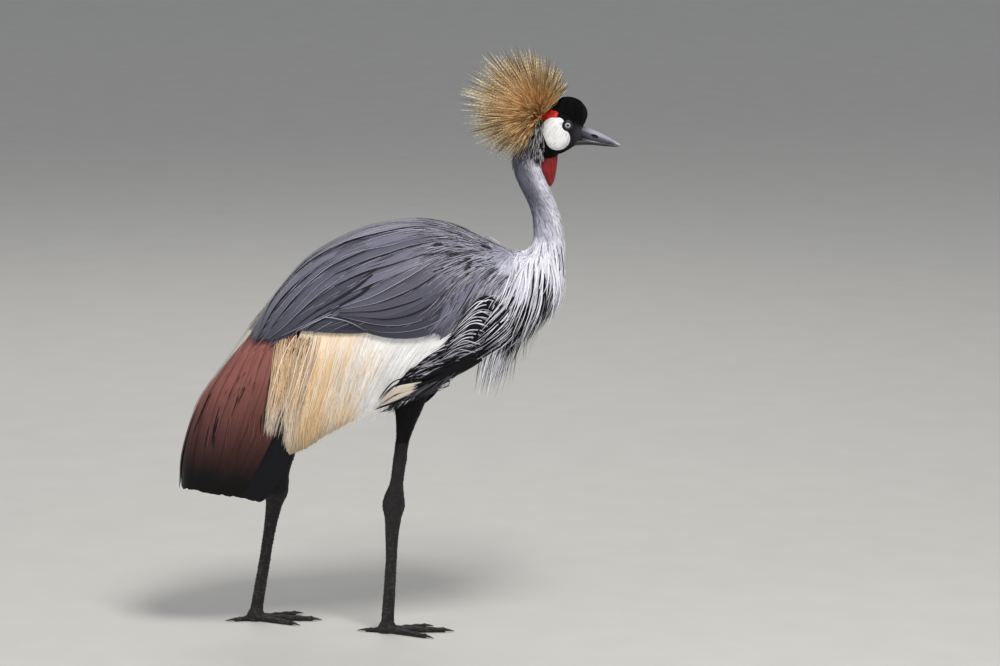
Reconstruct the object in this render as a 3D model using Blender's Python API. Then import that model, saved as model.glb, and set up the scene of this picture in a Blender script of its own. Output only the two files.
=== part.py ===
# Grey crowned crane, life size, standing in mid stride.
# +X runs from tail to bill, -Y is the bird's right side, +Z is up and the floor is z = 0.
# Every length below is in millimetres and becomes metres when a mesh is made.

import math
import random

import bmesh
import bpy
import numpy as np
from mathutils import Matrix, Vector

MM = 0.001
GAP = 0.35
CLEARANCE = "_clearance"
SEED = 41

# Rings of the neck and body, read from the back line to the throat and belly line in the side view:
# back x, back z, belly x, belly z, half width.
NECK_AND_BODY = np.array([
    (208, 817, 244, 789, 20),
    (188, 783, 230, 772, 21),
    (190, 747, 236, 750, 20),
    (213, 697, 257, 700, 20),
    (219, 665, 268, 662, 23),
    (217, 636, 270, 622, 31),
    (199, 622, 262, 573, 50),
    (160, 636, 217, 510, 70),
    (109, 652, 150, 470, 80),
    (45, 661, 72, 421, 86),
    (-40, 648, -24, 388, 87),
    (-110, 602, -96, 386, 79),
    (-170, 532, -156, 398, 58),
    (-214, 470, -203, 408, 30),
    (-236, 440, -229, 416, 12),
], float)
NECK_TOP, NECK_SPLIT, NECK_BASE, RUMP = 0.0, 3.0, 5.6, 14.0
BODY_SIDES = 16
BODY_SQUARENESS = 0.88

# Rings of the folded wings over the back: back line, lower edge of the wing, half width.
WINGS = np.array([
    (166, 633, 174, 472, 86),
    (69, 674, 69, 423, 107),
    (-36, 669, -41, 371, 113),
    (-138, 620, -122, 325, 108),
    (-213, 538, -174, 292, 95),
    (-271, 456, -203, 256, 82),
    (-325, 379, -231, 223, 70),
    (-352, 300, -262, 217, 61),
    (-357, 240, -312, 221, 52),
], float)
WING_TUCK = 0.2
WING_CORE_DEPTH = 40
GREY_BORDER_AT_FRONT, GREY_BORDER_SLOPE = 0.757, -0.147

# Feathers: thickness, the step from one layer to the next, and how deep the solid core lies under them.
FEATHER_THICKNESS = 0.9
LAYER_STEP = 1.5
CORE_DEPTH_UNDER_FEATHERS = 7

# A blade from root to tip: depth against the surface, and width as a share of the full one. Its
# second station follows soon after the root, so that it leaves the core steeply.
MANTLE_BLADE = ((-11, 0.6), (-3.8, 1.0), (-2.0, 0.9), (-0.6, 0.3))
COVERT_BLADE = ((-11, 0.6), (-2.6, 1.0), (-1.2, 0.8), (-0.6, 0.28))
FLIGHT_BLADE = ((-14, 0.4), (-3.0, 1.0), (-1.2, 0.85), (-0.6, 0.25))
BLADE_STATIONS = (0.0, 0.16, 0.6, 1.0)
TAIL_BLADE = ((-4, 0.6), (0.4, 1.0), (1.0, 1.0), (1.0, 0.32))
FLANK_BLADE = ((-7, 0.7), (0.9, 1.0), (2.2, 0.15))
LONG_HACKLE_BLADE = ((-8, 0.4), (2.0, 1.0), (7.0, 0.7), (3.0, 0.2))
SIDE_HACKLE_BLADE = ((-8, 0.4), (2.0, 1.0), (3.5, 0.2))

# Mantle tiers along the wing: where the roots stand, feather length (both in rings), count, width.
MANTLE_TIERS = [
    (0.36, 1.10, 5, 50),
    (1.05, 1.15, 5, 52),
    (1.80, 1.15, 4, 54),
    (2.50, 1.15, 4, 44),
    (3.20, 1.25, 3, 42),
]
MANTLE_START, MANTLE_CORE_END = 0.3, 3.95

# Coverts: root and tip rings of the first and last feather of each row, count, width, and how far
# below the outermost layer the row lies.
COVERT_ROWS = [
    ((1.00, 0.775), (1.75, 1.00), (2.50, 0.555), (3.60, 1.01), 6, 26, 3.0),
    ((2.55, 0.550), (3.62, 1.02), (3.70, 0.400), (4.85, 0.74), 6, 17, 3.0),
    ((1.12, 0.745), (1.90, 0.90), (3.55, 0.410), (4.45, 0.69), 5, 31, 0.0),
]
COVERTS_START, COVERTS_CORE_END, COVERTS_LOWER_EDGE = 0.98, 3.78, 0.8

# Flight feathers: root and tip of the first and the last in each run, count, width, first layer.
SECONDARIES = ((4.25, 0.06), (7.97, 0.10), (4.10, 0.62), (7.20, 0.92), 7, 40, 0)
PRIMARIES = ((3.95, 0.66), (7.00, 1.0), (3.90, 0.82), (6.20, 1.0), 3, 24, 7)
FLIGHT_CORE_START, FLIGHT_CORE_END, FLIGHT_CORE_THICKNESS = 3.6, 4.75, 10
FLIGHT_CORE_DEPTH, FLIGHT_LAYER_STEP = 10.5, 1.15

# Head
HEAD = np.array([
    (219, 849, 221, 799, 18),
    (232, 859, 238, 786, 22),
    (248, 862, 253, 781, 24),
    (263, 860, 267, 784, 23.5),
    (277, 853, 278, 790, 20),
    (290, 841, 288, 796, 14),
    (300, 829, 298, 799, 9),
], float)
CAP_CENTRE, CAP_RADII, CAP_TILT = (278, 0, 853), (28, 16.5, 24), math.radians(28)
CHEEK_CENTRE, CHEEK_RADII = (256, 19.5, 819), (22, 7, 27)
EYE_CENTRE, EYE_RADIUS = (274.5, 14.6, 831.5), 7.5
LID_RADIUS, LID_THICKNESS, LID_OUT = 6.0, 1.5, 20.9
NOSTRIL_CENTRE, NOSTRIL_LENGTH, NOSTRIL_HEIGHT = (318, 5.6, 812.5), 9, 2.6

# Bill rings: x, upper edge, lower edge, half width. The two halves part along the line of the mouth.
UPPER_BILL = np.array([
    (286, 830, 809.6, 11),
    (300, 828, 807.4, 8.6),
    (314, 822.5, 804.4, 7.0),
    (330, 815.5, 800.4, 5.0),
    (346, 806.5, 797.4, 3.2),
    (356, 800, 795.8, 1.8),
    (360.5, 796.6, 795.4, 0.7),
], float)
LOWER_BILL = np.array([
    (286, 809.2, 796, 10.5),
    (300, 807.0, 797, 8.0),
    (314, 804.0, 797, 6.2),
    (330, 800.0, 795.5, 4.4),
    (346, 797.0, 794.2, 2.6),
    (356, 795.4, 793.8, 1.2),
], float)

# Throat wattle rings: front x, front z, back x, back z, half width.
WATTLE = np.array([
    (259, 784, 233, 780, 9),
    (258, 768, 232, 764, 10.5),
    (256, 752, 235, 750, 9),
    (253, 739, 240, 739, 6),
    (248, 730, 245, 730, 2),
], float)

# Crest: bristles leave a small dome on the crown and end near the surface of an egg.
CREST_ROOT, CREST_DOME_RADII = (230, 0, 848), (24, 22, 24)
CREST_CENTRE, CREST_RADII = (190, 0, 861), (87, 66, 84)
BRISTLES, BRISTLE_WIDTH, BRISTLE_THICKNESS = 132, 4.2, 2.0
# A bristle's rings: share of its length, share of its width, share of its sag.
BRISTLE_RINGS = ((0.0, 1.0, 0), (0.55, 0.8, 1), (1.0, 0.28, 0))
CREST_KEEPS_OFF = (Vector((0.80, 0, -0.60)), -0.02)

# Hackles of the neck base: long ones in front hang off the breast by up to HACKLE_HANG, and shorter
# ones lie on each side.
HACKLE_WIDTH, HACKLE_THICKNESS, HACKLE_LAYER_STEP, HACKLE_HANG = 13, 1.0, 1.6, 62
LONG_HACKLES, SIDE_HACKLES = 7, 5

# Streaky feathers of the flank: root ring, length in rings, first and last turn from the back, count,
# and how far the tips stand off.
FLANK_ROWS = [
    (6.5, 1.5, 84, 148, 3, 0),
    (7.5, 1.6, 105, 160, 4, 0),
    (8.6, 1.5, 125, 168, 3, 9),
]
FLANK_WIDTH = 20

# Legs: x, z, fore-and-aft radius, sideways radius, with the sideways place beside them.
THIGH_TOP_Y, HOCK_Y, FOOT_Y = {-1: -44, 1: 42}, {-1: -36, 1: 44}, {-1: -30, 1: 62}
LEG_PATHS = {
    -1: np.array([
        (26, 428, 34, 25), (20, 385, 25, 20), (13, 345, 15, 13), (7, 315, 10.5, 9.5),
        (3, 285, 10, 9), (-2, 250, 10, 9), (-6, 228, 15, 11), (-7, 210, 17, 12),
        (-8, 192, 12.5, 9.5), (-10, 160, 9.6, 7), (-11, 125, 8.2, 6.2), (-13, 90, 8.4, 6.2),
        (-15, 58, 8.8, 6.6), (-17, 30, 9, 7.6), (-18, 9, 10, 9),
    ], float),
    1: np.array([
        (-118, 428, 34, 25), (-137, 388, 25, 20), (-155, 348, 15, 13), (-168, 318, 10.5, 9.5),
        (-178, 288, 10, 9), (-189, 254, 10, 9), (-196, 234, 15, 11), (-200, 216, 17, 12),
        (-204, 198, 12.5, 9.5), (-210, 166, 9.6, 7), (-216, 131, 8.2, 6.2), (-222, 94, 8.4, 6.2),
        (-228, 60, 8.8, 6.6), (-233, 31, 9, 7.6), (-236, 9, 10, 9),
    ], float),
}
HOCK = 7
THIGH_END, SHANK_END = 3.2, 5.6
LEG_SIDES = 8

# Toes: bearing from straight ahead (positive turns outwards), length, root radius.
TOES = {
    "inner": (-31, 72, 6.0),
    "middle": (-2, 94, 6.6),
    "outer": (33, 76, 6.0),
    "hind": (192, 36, 5.4),
}
TOE_TIP_SHARE = 0.66
CLAW_LENGTH, CLAW_SHARE, CLAW_DROP = 15, 0.8, 1.2
# Rings of the pad under the tarsus: height, fore-and-aft radius, sideways radius.
FOOT_PAD = ((0, 13, 11), (5, 15.5, 13), (12, 14.5, 12.5), (20, 10, 9))

# Tail: middle line in the side view, half width of the fan, and its feathers.
TAIL = np.array([
    (-205, 437, 17),
    (-236, 400, 26),
    (-268, 335, 32),
    (-290, 279, 34),
    (-300, 244, 34),
], float)
TAIL_FEATHERS, TAIL_FEATHER_WIDTH, TAIL_LAYER_STEP = 6, 19, 1.2
TAIL_CORE_END, TAIL_CORE_THICKNESS, TAIL_EDGE = 1.2, 9, 0.85

# Neighbouring lengths of the neck and of a leg stop this many rings short of each other.
RING_EDGE = 0.013

COLOURS = {
    "slate": ((0.13, 0.14, 0.17), 0.75),
    "neck_grey": ((0.42, 0.42, 0.46), 0.8),
    "gold": ((0.80, 0.62, 0.33), 0.75),
    "chestnut": ((0.11, 0.035, 0.028), 0.7),
    "black": ((0.012, 0.012, 0.014), 0.6),
    "straw": ((0.56, 0.36, 0.14), 0.75),
    "red": ((0.55, 0.02, 0.02), 0.6),
    "horn": ((0.08, 0.09, 0.10), 0.4),
    "leg": ((0.025, 0.023, 0.025), 0.55),
    "iris": ((0.55, 0.66, 0.72), 0.15),
}


# Materials, meshes and Booleans

def material(name):
    found = bpy.data.materials.get(name)
    if found:
        return found
    colour, roughness = COLOURS[name]
    made = bpy.data.materials.new(name)
    made.use_nodes = True
    shader = made.node_tree.nodes["Principled BSDF"]
    shader.inputs["Base Color"].default_value = (*colour, 1)
    shader.inputs["Roughness"].default_value = roughness
    shader.inputs["Metallic"].default_value = 0
    return made


def solid(name, points, faces, finish):
    mesh = bpy.data.meshes.new(name)
    mesh.from_pydata([tuple(MM * c for c in p) for p in points], [], faces)
    work = bmesh.new()
    work.from_mesh(mesh)
    bmesh.ops.triangulate(work, faces=[f for f in work.faces if len(f.verts) > 3])
    if work.calc_volume(signed=True) < 0:
        bmesh.ops.reverse_faces(work, faces=work.faces)
    work.to_mesh(mesh)
    work.free()
    made = bpy.data.objects.new(name, mesh)
    made.data.materials.append(material(finish))
    bpy.context.scene.collection.objects.link(made)
    return made


def apply_modifiers(obj):
    bpy.context.view_layer.update()
    graph = bpy.context.evaluated_depsgraph_get()
    old = obj.data
    fresh = bpy.data.meshes.new_from_object(obj.evaluated_get(graph), depsgraph=graph)
    obj.modifiers.clear()
    obj.data = fresh
    bpy.data.meshes.remove(old)


def discard(obj):
    mesh = obj.data
    bpy.data.objects.remove(obj)
    bpy.data.meshes.remove(mesh)


def surface_volume(faces):
    total = 0.0
    for face in faces:
        a, b, c = (v.co for v in face.verts)
        total += a.dot(b.cross(c)) / 6
    return total


def keep_largest(obj):
    work = bmesh.new()
    work.from_mesh(obj.data)
    bmesh.ops.triangulate(work, faces=work.faces)
    seen = set()
    pieces = []
    for start in work.faces:
        if start in seen:
            continue
        piece, queue = [], [start]
        seen.add(start)
        while queue:
            face = queue.pop()
            piece.append(face)
            for edge in face.edges:
                for other in edge.link_faces:
                    if other not in seen:
                        seen.add(other)
                        queue.append(other)
        pieces.append(piece)
    pieces.sort(key=surface_volume)
    loose = [face for piece in pieces[:-1] for face in piece]
    if loose:
        bmesh.ops.delete(work, geom=loose, context="FACES")
    work.to_mesh(obj.data)
    work.free()


def fuse(core, pieces):
    # A feathered node's own cutter is made of its pieces, each grown by itself before they join.
    grown_pieces = [grown(piece) for piece in pieces]
    clearance = grown(core)
    clearance.name = core.name + CLEARANCE
    unite(clearance, grown_pieces)
    return unite(core, pieces)


def unite(core, pieces):
    # One Boolean union joins all the pieces to the core.
    group = bpy.data.collections.new(core.name + "_pieces")
    for piece in pieces:
        group.objects.link(piece)
        piece.hide_render = True
    union = core.modifiers.new("union", "BOOLEAN")
    union.operation = "UNION"
    union.operand_type = "COLLECTION"
    union.solver = "MANIFOLD"
    union.collection = group
    apply_modifiers(core)
    for piece in pieces:
        discard(piece)
    bpy.data.collections.remove(group)
    keep_largest(core)
    return core


def cut(obj, *cutters):
    for cutter in cutters:
        step = obj.modifiers.new("cut", "BOOLEAN")
        step.operation = "DIFFERENCE"
        step.solver = "MANIFOLD"
        step.object = cutter
        apply_modifiers(obj)
    keep_largest(obj)
    return obj


def grown(obj):
    # A copy whose faces all lie further out, which cuts a neighbour clear of the original.
    copy = bpy.data.objects.new(obj.name + "_grown", obj.data.copy())
    bpy.context.scene.collection.objects.link(copy)
    copy.hide_render = True
    copy.display_type = "WIRE"
    work = bmesh.new()
    work.from_mesh(copy.data)
    work.normal_update()
    moves = [v.normal * (MM * GAP * min(v.calc_shell_factor(), 2.5)) for v in work.verts]
    for vert, move in zip(work.verts, moves):
        vert.co += move
    work.to_mesh(copy.data)
    work.free()
    return copy


def cut_clear(obj, *neighbours):
    for neighbour in neighbours:
        kept = bpy.data.objects.get(neighbour.name + CLEARANCE)
        cutter = kept or grown(neighbour)
        cut(obj, cutter)
        if not kept:
            discard(cutter)
    return obj


# Curves and closed forms

def along(rows, t):
    # A smooth curve through the rows, with t counted in rows.
    last = len(rows) - 1
    i = min(max(int(math.floor(t)), 0), last - 1)
    u = t - i
    p1, p2 = rows[i], rows[i + 1]
    p0 = rows[i - 1] if i > 0 else 2 * p1 - p2
    p3 = rows[i + 2] if i + 2 <= last else 2 * p2 - p1
    return 0.5 * (2 * p1 + (p2 - p0) * u + (2 * p0 - 5 * p1 + 4 * p2 - p3) * u * u
                  + (3 * p1 - p0 - 3 * p2 + p3) * u ** 3)


def ease(value, start, end):
    share = min(max((value - start) / (end - start), 0), 1)
    return share * share * (3 - 2 * share)


def mix(a, b, share):
    return a + (b - a) * share


def spaced(start, end, count):
    return [mix(start, end, i / (count - 1)) for i in range(count)]


def tube(name, rings, finish):
    # Rings of equal count bridged into one closed form with flat ends.
    sides = len(rings[0])
    points = [p for ring in rings for p in ring]
    faces = [tuple(range(sides)), tuple(range(len(points) - 1, len(points) - sides - 1, -1))]
    for i in range(len(rings) - 1):
        for j in range(sides):
            k = (j + 1) % sides
            faces.append((i * sides + j, (i + 1) * sides + j, (i + 1) * sides + k, i * sides + k))
    return solid(name, points, faces, finish)


def round_ring(ahead_axis, across_axis, middle, ahead_radius, across_radius, sides, start=0.0):
    turns = (start + 2 * math.pi * j / sides for j in range(sides))
    return [middle + ahead_axis * (ahead_radius * math.cos(a)) + across_axis * (across_radius * math.sin(a))
            for a in turns]


def body_point(t, turn):
    # turn runs from the back (0) over the left side (90) and belly (180) to the right side.
    top_x, top_z, low_x, low_z, width = along(NECK_AND_BODY, t)
    c, s = math.cos(math.radians(turn)), math.sin(math.radians(turn))
    squareness = mix(1.0, BODY_SQUARENESS, ease(t, 5, 7))
    up = math.copysign(abs(c) ** squareness, c)
    out = math.copysign(abs(s) ** squareness, s)
    return Vector((
        mix(low_x, top_x, (up + 1) / 2),
        width * out,
        mix(low_z, top_z, (up + 1) / 2),
    ))


def body_length(name, start, end, steps, sides, finish):
    rings = [[body_point(t, 360 * j / sides) for j in range(sides)]
             for t in spaced(start, end, steps + 1)]
    return tube(name, rings, finish)


def barrel_ring(row, sides):
    top_x, top_z, low_x, low_z, width = row
    ring = []
    for j in range(sides):
        turn = 2 * math.pi * j / sides
        share = (math.cos(turn) + 1) / 2
        ring.append(Vector((mix(low_x, top_x, share), width * math.sin(turn), mix(low_z, top_z, share))))
    return ring


def barrel(name, rows, steps, sides, finish):
    stations = spaced(0, len(rows) - 1, steps + 1)
    return tube(name, [barrel_ring(along(rows, t), sides) for t in stations], finish)


def ellipsoid(name, centre, radii, finish, tilt=0.0, sides=14, layers=8):
    work = bmesh.new()
    bmesh.ops.create_uvsphere(work, u_segments=sides, v_segments=layers, radius=1)
    place = Matrix.Translation(Vector(centre)) @ Matrix.Rotation(tilt, 4, "Y")
    place = place @ Matrix.Diagonal((*radii, 1))
    points = [place @ v.co for v in work.verts]
    faces = [tuple(v.index for v in f.verts) for f in work.faces]
    work.free()
    return solid(name, points, faces, finish)


def ring_about(name, centre, radius, thickness, finish, sides=8, around=4):
    # A torus whose axis is Y.
    points, faces = [], []
    for i in range(sides):
        a = 2 * math.pi * i / sides
        for j in range(around):
            b = 2 * math.pi * j / around
            reach = radius + thickness * math.cos(b)
            points.append((centre[0] + reach * math.cos(a), centre[1] + thickness * math.sin(b),
                           centre[2] + reach * math.sin(a)))
            k, n = (i + 1) % sides, (j + 1) % around
            faces.append((i * around + j, k * around + j, k * around + n, i * around + n))
    return solid(name, points, faces, finish)


# Folded wing surface

def wing_point(s, v, side):
    # v runs from the middle of the back (0) over the side (0.5) to the wing's lower edge (1).
    top_x, top_z, low_x, low_z, width = along(WINGS, s)
    if v < 0.5:
        height, out = math.cos(math.pi * v), math.sin(math.pi * v)
    else:
        drop = 2 * v - 1
        height, out = -drop, 1 - WING_TUCK * drop * drop
    share = (height + 1) / 2
    return Vector((mix(low_x, top_x, share), side * width * out, mix(low_z, top_z, share)))


def wing_place(s, v, side, out):
    step = 0.02
    v = max(v, 0.0)
    back = wing_point(s + step, v, side) - wing_point(s - step, v, side)
    down = wing_point(s, v + step, side) - wing_point(s, max(v - step, 0), side)
    normal = down.cross(back).normalized() * side
    point = wing_point(s, v, side) + normal * out
    point.y = side * max(point.y * side, GAP)
    return point


def body_place(t, turn, out):
    along_body = body_point(t + 0.02, turn) - body_point(t - 0.02, turn)
    round_body = body_point(t, turn + 1) - body_point(t, turn - 1)
    return body_point(t, turn) + along_body.cross(round_body).normalized() * -out


def tail_place(t, v, out):
    # v is -1 at the fan's right edge and 1 at its left one.
    x, z, width = along(TAIL, t)
    ahead = along(TAIL, t + 0.02) - along(TAIL, t - 0.02)
    normal = Vector((-ahead[1], 0, ahead[0])).normalized()
    normal = normal if normal.z > 0 else -normal
    return Vector((x, width * v, z)) + normal * (out - 5 * v * v)


def shell(name, place, stations, edges, outer, inner, columns, finish):
    # A closed slab that follows a surface between an outer and an inner depth.
    count = len(stations)
    points, faces = [], []
    for depth in (outer, inner):
        for s in stations:
            points += [place(s, v, depth(s, v)) for v in spaced(*edges(s), columns + 1)]
    row = columns + 1
    layer = count * row
    for i in range(count - 1):
        for j in range(columns):
            a, b = i * row + j, (i + 1) * row + j
            faces += [(a, b, b + 1), (a, b + 1, a + 1)]
            a, b = a + layer, b + layer
            faces += [(a, b + 1, b), (a, a + 1, b + 1)]
    rim = list(range(columns + 1))
    rim += [i * row + columns for i in range(1, count)]
    rim += [(count - 1) * row + j for j in range(columns - 1, -1, -1)]
    rim += [i * row for i in range(count - 2, 0, -1)]
    for a, b in zip(rim, rim[1:] + rim[:1]):
        faces.append((a, b, b + layer, a + layer))
    return solid(name, points, faces, finish)


# Feathers

# Ring pairs of a blade's section, with whether each band's diagonal starts from its near ring.
BLADE_SECTION = ((0, 1, True), (1, 2, True), (2, 3, False), (3, 0, True))


def vane(place, path, widths, depths, thickness, finish):
    # A closed, tapered blade laid on a surface, split into triangles alike on both faces.
    def spot(p, out=0.0):
        return place(p[0], p[1], out)

    points = []
    last = len(path) - 1
    for i, here in enumerate(path):
        before, after = path[max(i - 1, 0)], path[min(i + 1, last)]
        heading = (spot(after) - spot(before)).normalized()
        step = 0.02
        unit = 1.0 if place is body_place else 0.02
        by_u = (spot((here[0] + step, here[1])) - spot((here[0] - step, here[1]))) / (2 * step)
        by_v = (spot((here[0], here[1] + unit)) - spot((here[0], here[1]))) / unit
        across = by_u.cross(by_v).cross(heading).normalized()
        gram = np.array([[by_u.dot(by_u), by_u.dot(by_v)], [by_u.dot(by_v), by_v.dot(by_v)]])
        du, dv = np.linalg.solve(gram, [by_u.dot(across), by_v.dot(across)]) * widths[i] / 2
        sides = [(here[0] - du, here[1] - dv), (here[0] + du, here[1] + dv)]
        half = thickness * (0.5 if i < last else 0.3)
        points += [spot(p, depths[i] + half) for p in sides]
        points += [spot(p, depths[i] - half) for p in reversed(sides)]
    size = len(BLADE_SECTION)
    faces = [tuple(range(size)), tuple(size * last + j for j in reversed(range(size)))]
    for i in range(last):
        a, b = size * i, size * (i + 1)
        for j, k, from_near in BLADE_SECTION:
            if from_near:
                faces += [(a + j, b + k, a + k), (a + j, b + j, b + k)]
            else:
                faces += [(a + j, b + j, a + k), (a + k, b + j, b + k)]
    return solid("vane", points, faces, finish)


def blade(profile, width, under):
    # Widths and depths of one feather. Its root stays at its own depth when the rest goes under.
    depths = [depth - (under if i else 0) for i, (depth, _) in enumerate(profile)]
    return [width * share for _, share in profile], depths


def lane(root, tip, bend):
    # A path from root to tip in surface coordinates, bowed sideways in its middle.
    return [(mix(root[0], tip[0], u), mix(root[1], tip[1], u) + bend * 4 * u * (1 - u))
            for u in BLADE_STATIONS]


def wobble(size):
    return random.uniform(-size, size)


def on_wing(side):
    def place(s, v, out):
        return wing_place(s, v, side, out)

    return place


# Neck, body and head

def make_hackles():
    vanes = []
    for i in range(LONG_HACKLES):
        share = i / (LONG_HACKLES - 1)
        turn = 180 + mix(-46, 46, share) + wobble(3)
        hang = (HACKLE_HANG + wobble(14)) * math.cos(math.radians(turn - 180)) ** 2
        tip = 8.0 + wobble(0.25)
        path = [(4.9 + 0.25 * (i % 2), turn), (6.0, turn), (7.0, turn), (tip, 180 + (turn - 180) * 0.9)]
        widths, depths = blade(LONG_HACKLE_BLADE, HACKLE_WIDTH, -HACKLE_LAYER_STEP * (i % 3))
        depths[2] += hang / 4
        depths[3] += hang
        vanes.append(vane(body_place, path, widths, depths, HACKLE_THICKNESS, "neck_grey"))
    for side in (-1, 1):
        for i in range(SIDE_HACKLES):
            turn = 180 + side * mix(54, 128, i / (SIDE_HACKLES - 1)) + wobble(3)
            tip = mix(8.1, 7.0, i / (SIDE_HACKLES - 1)) + wobble(0.15)
            path = [(4.95 + 0.2 * (i % 2), turn), (6.1, turn), (tip, turn - side * 4)]
            widths, depths = blade(SIDE_HACKLE_BLADE, HACKLE_WIDTH, -HACKLE_LAYER_STEP * (i % 3))
            vanes.append(vane(body_place, path, widths, depths, HACKLE_THICKNESS, "neck_grey"))
    return vanes


def make_torso():
    torso = body_length("torso", NECK_BASE, RUMP, 12, BODY_SIDES, "slate")
    vanes = []
    for root, length, first, last, count, stand_off in FLANK_ROWS:
        for side in (-1, 1):
            for i, turn in enumerate(spaced(first, last, count)):
                start = root + wobble(0.12)
                end = start + length + wobble(0.15)
                turn = side * (turn + wobble(3))
                path = [(start, turn), (mix(start, end, 0.5), turn), (end, turn + side * 8)]
                widths, depths = blade(FLANK_BLADE, FLANK_WIDTH, -LAYER_STEP * (i % 2))
                depths[-1] += stand_off
                vanes.append(vane(body_place, path, widths, depths, FEATHER_THICKNESS, "slate"))
    return fuse(torso, vanes)


def make_neck(torso):
    upper = body_length("neck_upper", NECK_TOP, NECK_SPLIT - RING_EDGE, 7, 14, "neck_grey")
    lower = body_length("neck_lower", NECK_SPLIT, NECK_BASE - RING_EDGE, 6, 14, "neck_grey")
    fuse(lower, make_hackles())
    cut_clear(lower, torso)
    return upper, lower


def make_eye(side):
    centre = (EYE_CENTRE[0], side * EYE_CENTRE[1], EYE_CENTRE[2])
    name = "eye_left" if side > 0 else "eye_right"
    return ellipsoid(name, centre, (EYE_RADIUS,) * 3, "iris", sides=12, layers=6)


def make_head(neck_upper, eyes):
    head = barrel("head", HEAD, 7, 12, "black")
    pieces = [ellipsoid("cap", CAP_CENTRE, CAP_RADII, "black", CAP_TILT, 11, 6)]
    for side in (-1, 1):
        x, y, z = CHEEK_CENTRE
        pieces.append(ellipsoid("cheek", (x, side * y, z), CHEEK_RADII, "black", sides=9, layers=6))
        lid_centre = (EYE_CENTRE[0], side * LID_OUT, EYE_CENTRE[2])
        pieces.append(ring_about("lid", lid_centre, LID_RADIUS, LID_THICKNESS, "black"))
    fuse(head, pieces)
    return cut_clear(head, neck_upper, *eyes)


def bill_half(name, rows):
    rings = []
    for x, high, low, width in rows:
        middle = Vector((x, 0, (high + low) / 2))
        rings.append(round_ring(Vector((0, 0, 1)), Vector((0, 1, 0)), middle, (high - low) / 2, width, 10))
    return tube(name, rings, "horn")


def make_bill(head):
    upper = bill_half("bill_upper", UPPER_BILL)
    lower = bill_half("bill_lower", LOWER_BILL)
    for side in (-1, 1):
        x, y, z = NOSTRIL_CENTRE
        radii = (NOSTRIL_LENGTH / 2, 2.2, NOSTRIL_HEIGHT / 2)
        slot = ellipsoid("nostril", (x, side * y, z), radii, "black", math.radians(18), 8, 5)
        cut(upper, slot)
        discard(slot)
    cut_clear(upper, head)
    cut_clear(lower, head, upper)


def make_wattle(neck_upper, head):
    wattle = barrel("wattle", WATTLE, 6, 8, "red")
    cut_clear(wattle, neck_upper, head)


def bristle_headings():
    # Even directions over a ball, without those towards the face and down the neck.
    away, limit = CREST_KEEPS_OFF
    golden = math.pi * (3 - math.sqrt(5))
    kept = []
    for i in range(BRISTLES):
        up = 1 - 2 * (i + 0.5) / BRISTLES
        flat = math.sqrt(1 - up * up)
        heading = Vector((flat * math.cos(golden * i), flat * math.sin(golden * i), up))
        if heading.dot(away.normalized()) < limit and (heading.z > -0.55 or abs(heading.y) > 0.5):
            kept.append(heading)
    return kept


def reach_to_egg(start, heading):
    # Distance from a point inside the crest's egg to its surface along a heading.
    scale = Vector(1 / r for r in CREST_RADII)
    p = (start - Vector(CREST_CENTRE)) * scale
    d = heading * scale
    a, b, c = d.dot(d), 2 * p.dot(d), p.dot(p) - 1
    return (-b + math.sqrt(b * b - 4 * a * c)) / (2 * a)


def make_crest(head, neck_upper, eyes):
    root = Vector(CREST_ROOT)
    crest = ellipsoid("crest", CREST_ROOT, CREST_DOME_RADII, "straw", sides=14, layers=8)
    bristles = []
    for heading in bristle_headings():
        reach = reach_to_egg(root, heading) * random.uniform(0.86, 1.0)
        across = heading.cross(Vector((wobble(1), wobble(1), wobble(1)))).normalized()
        flat = heading.cross(across)
        sag = Vector((0, 0, -1)).cross(heading).cross(heading) * random.uniform(-2.0, 3.5)
        rings = []
        for share, width, bow in BRISTLE_RINGS:
            middle = root + heading * (12 + (reach - 12) * share) + sag * bow
            rings.append(round_ring(across, flat, middle, BRISTLE_WIDTH / 2 * width,
                                    BRISTLE_THICKNESS / 2 * width, 3))
        bristles.append(tube("bristle", rings, "straw"))
    fuse(crest, bristles)
    return cut_clear(crest, head, neck_upper, *eyes)


# Wings and tail

def grey_border(s):
    return GREY_BORDER_AT_FRONT + GREY_BORDER_SLOPE * (s - 1)


def midline_block(side):
    # The half space beyond the bird's middle plane, which keeps each wing on its own side.
    size = 500
    corners = [(a * size, side * (b * size - size + GAP / 2), 500 + c * size)
               for a in (-1, 1) for b in (0, 1) for c in (-1, 1)]
    faces = [(0, 1, 3, 2), (4, 6, 7, 5), (0, 4, 5, 1), (2, 3, 7, 6), (0, 2, 6, 4), (1, 5, 7, 3)]
    block = solid("midline", corners, faces, "slate")
    block.hide_render = True
    return block


def make_mantle(side, torso):
    name = "wing_left_mantle" if side > 0 else "wing_right_mantle"
    place = on_wing(side)
    mantle = shell(
        name, place, spaced(MANTLE_START, MANTLE_CORE_END, 7), lambda s: (0.0, grey_border(s)),
        lambda s, v: -CORE_DEPTH_UNDER_FEATHERS - 4 * (1 - ease(s, 0, 1)),
        lambda s, v: -WING_CORE_DEPTH + 24 * ease(s, 2.6, 3.9), 5, "slate")
    vanes = []
    for tier, (root, length, count, width) in enumerate(MANTLE_TIERS):
        for i in range(count):
            place_across = (i + 0.5 + 0.25 * (-1) ** tier) / count
            start, end = root + wobble(0.06), root + length + wobble(0.08)
            stations = [mix(start, end, share) for share in BLADE_STATIONS]
            path = [(s, place_across * 0.97 * grey_border(s) + 0.01) for s in stations]
            widths, depths = blade(MANTLE_BLADE, width, LAYER_STEP * (i % 2))
            vanes.append(vane(place, path, widths, depths, FEATHER_THICKNESS, "slate"))
    fuse(mantle, vanes)
    block = midline_block(side)
    cut(mantle, block)
    discard(block)
    return cut_clear(mantle, torso)


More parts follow.
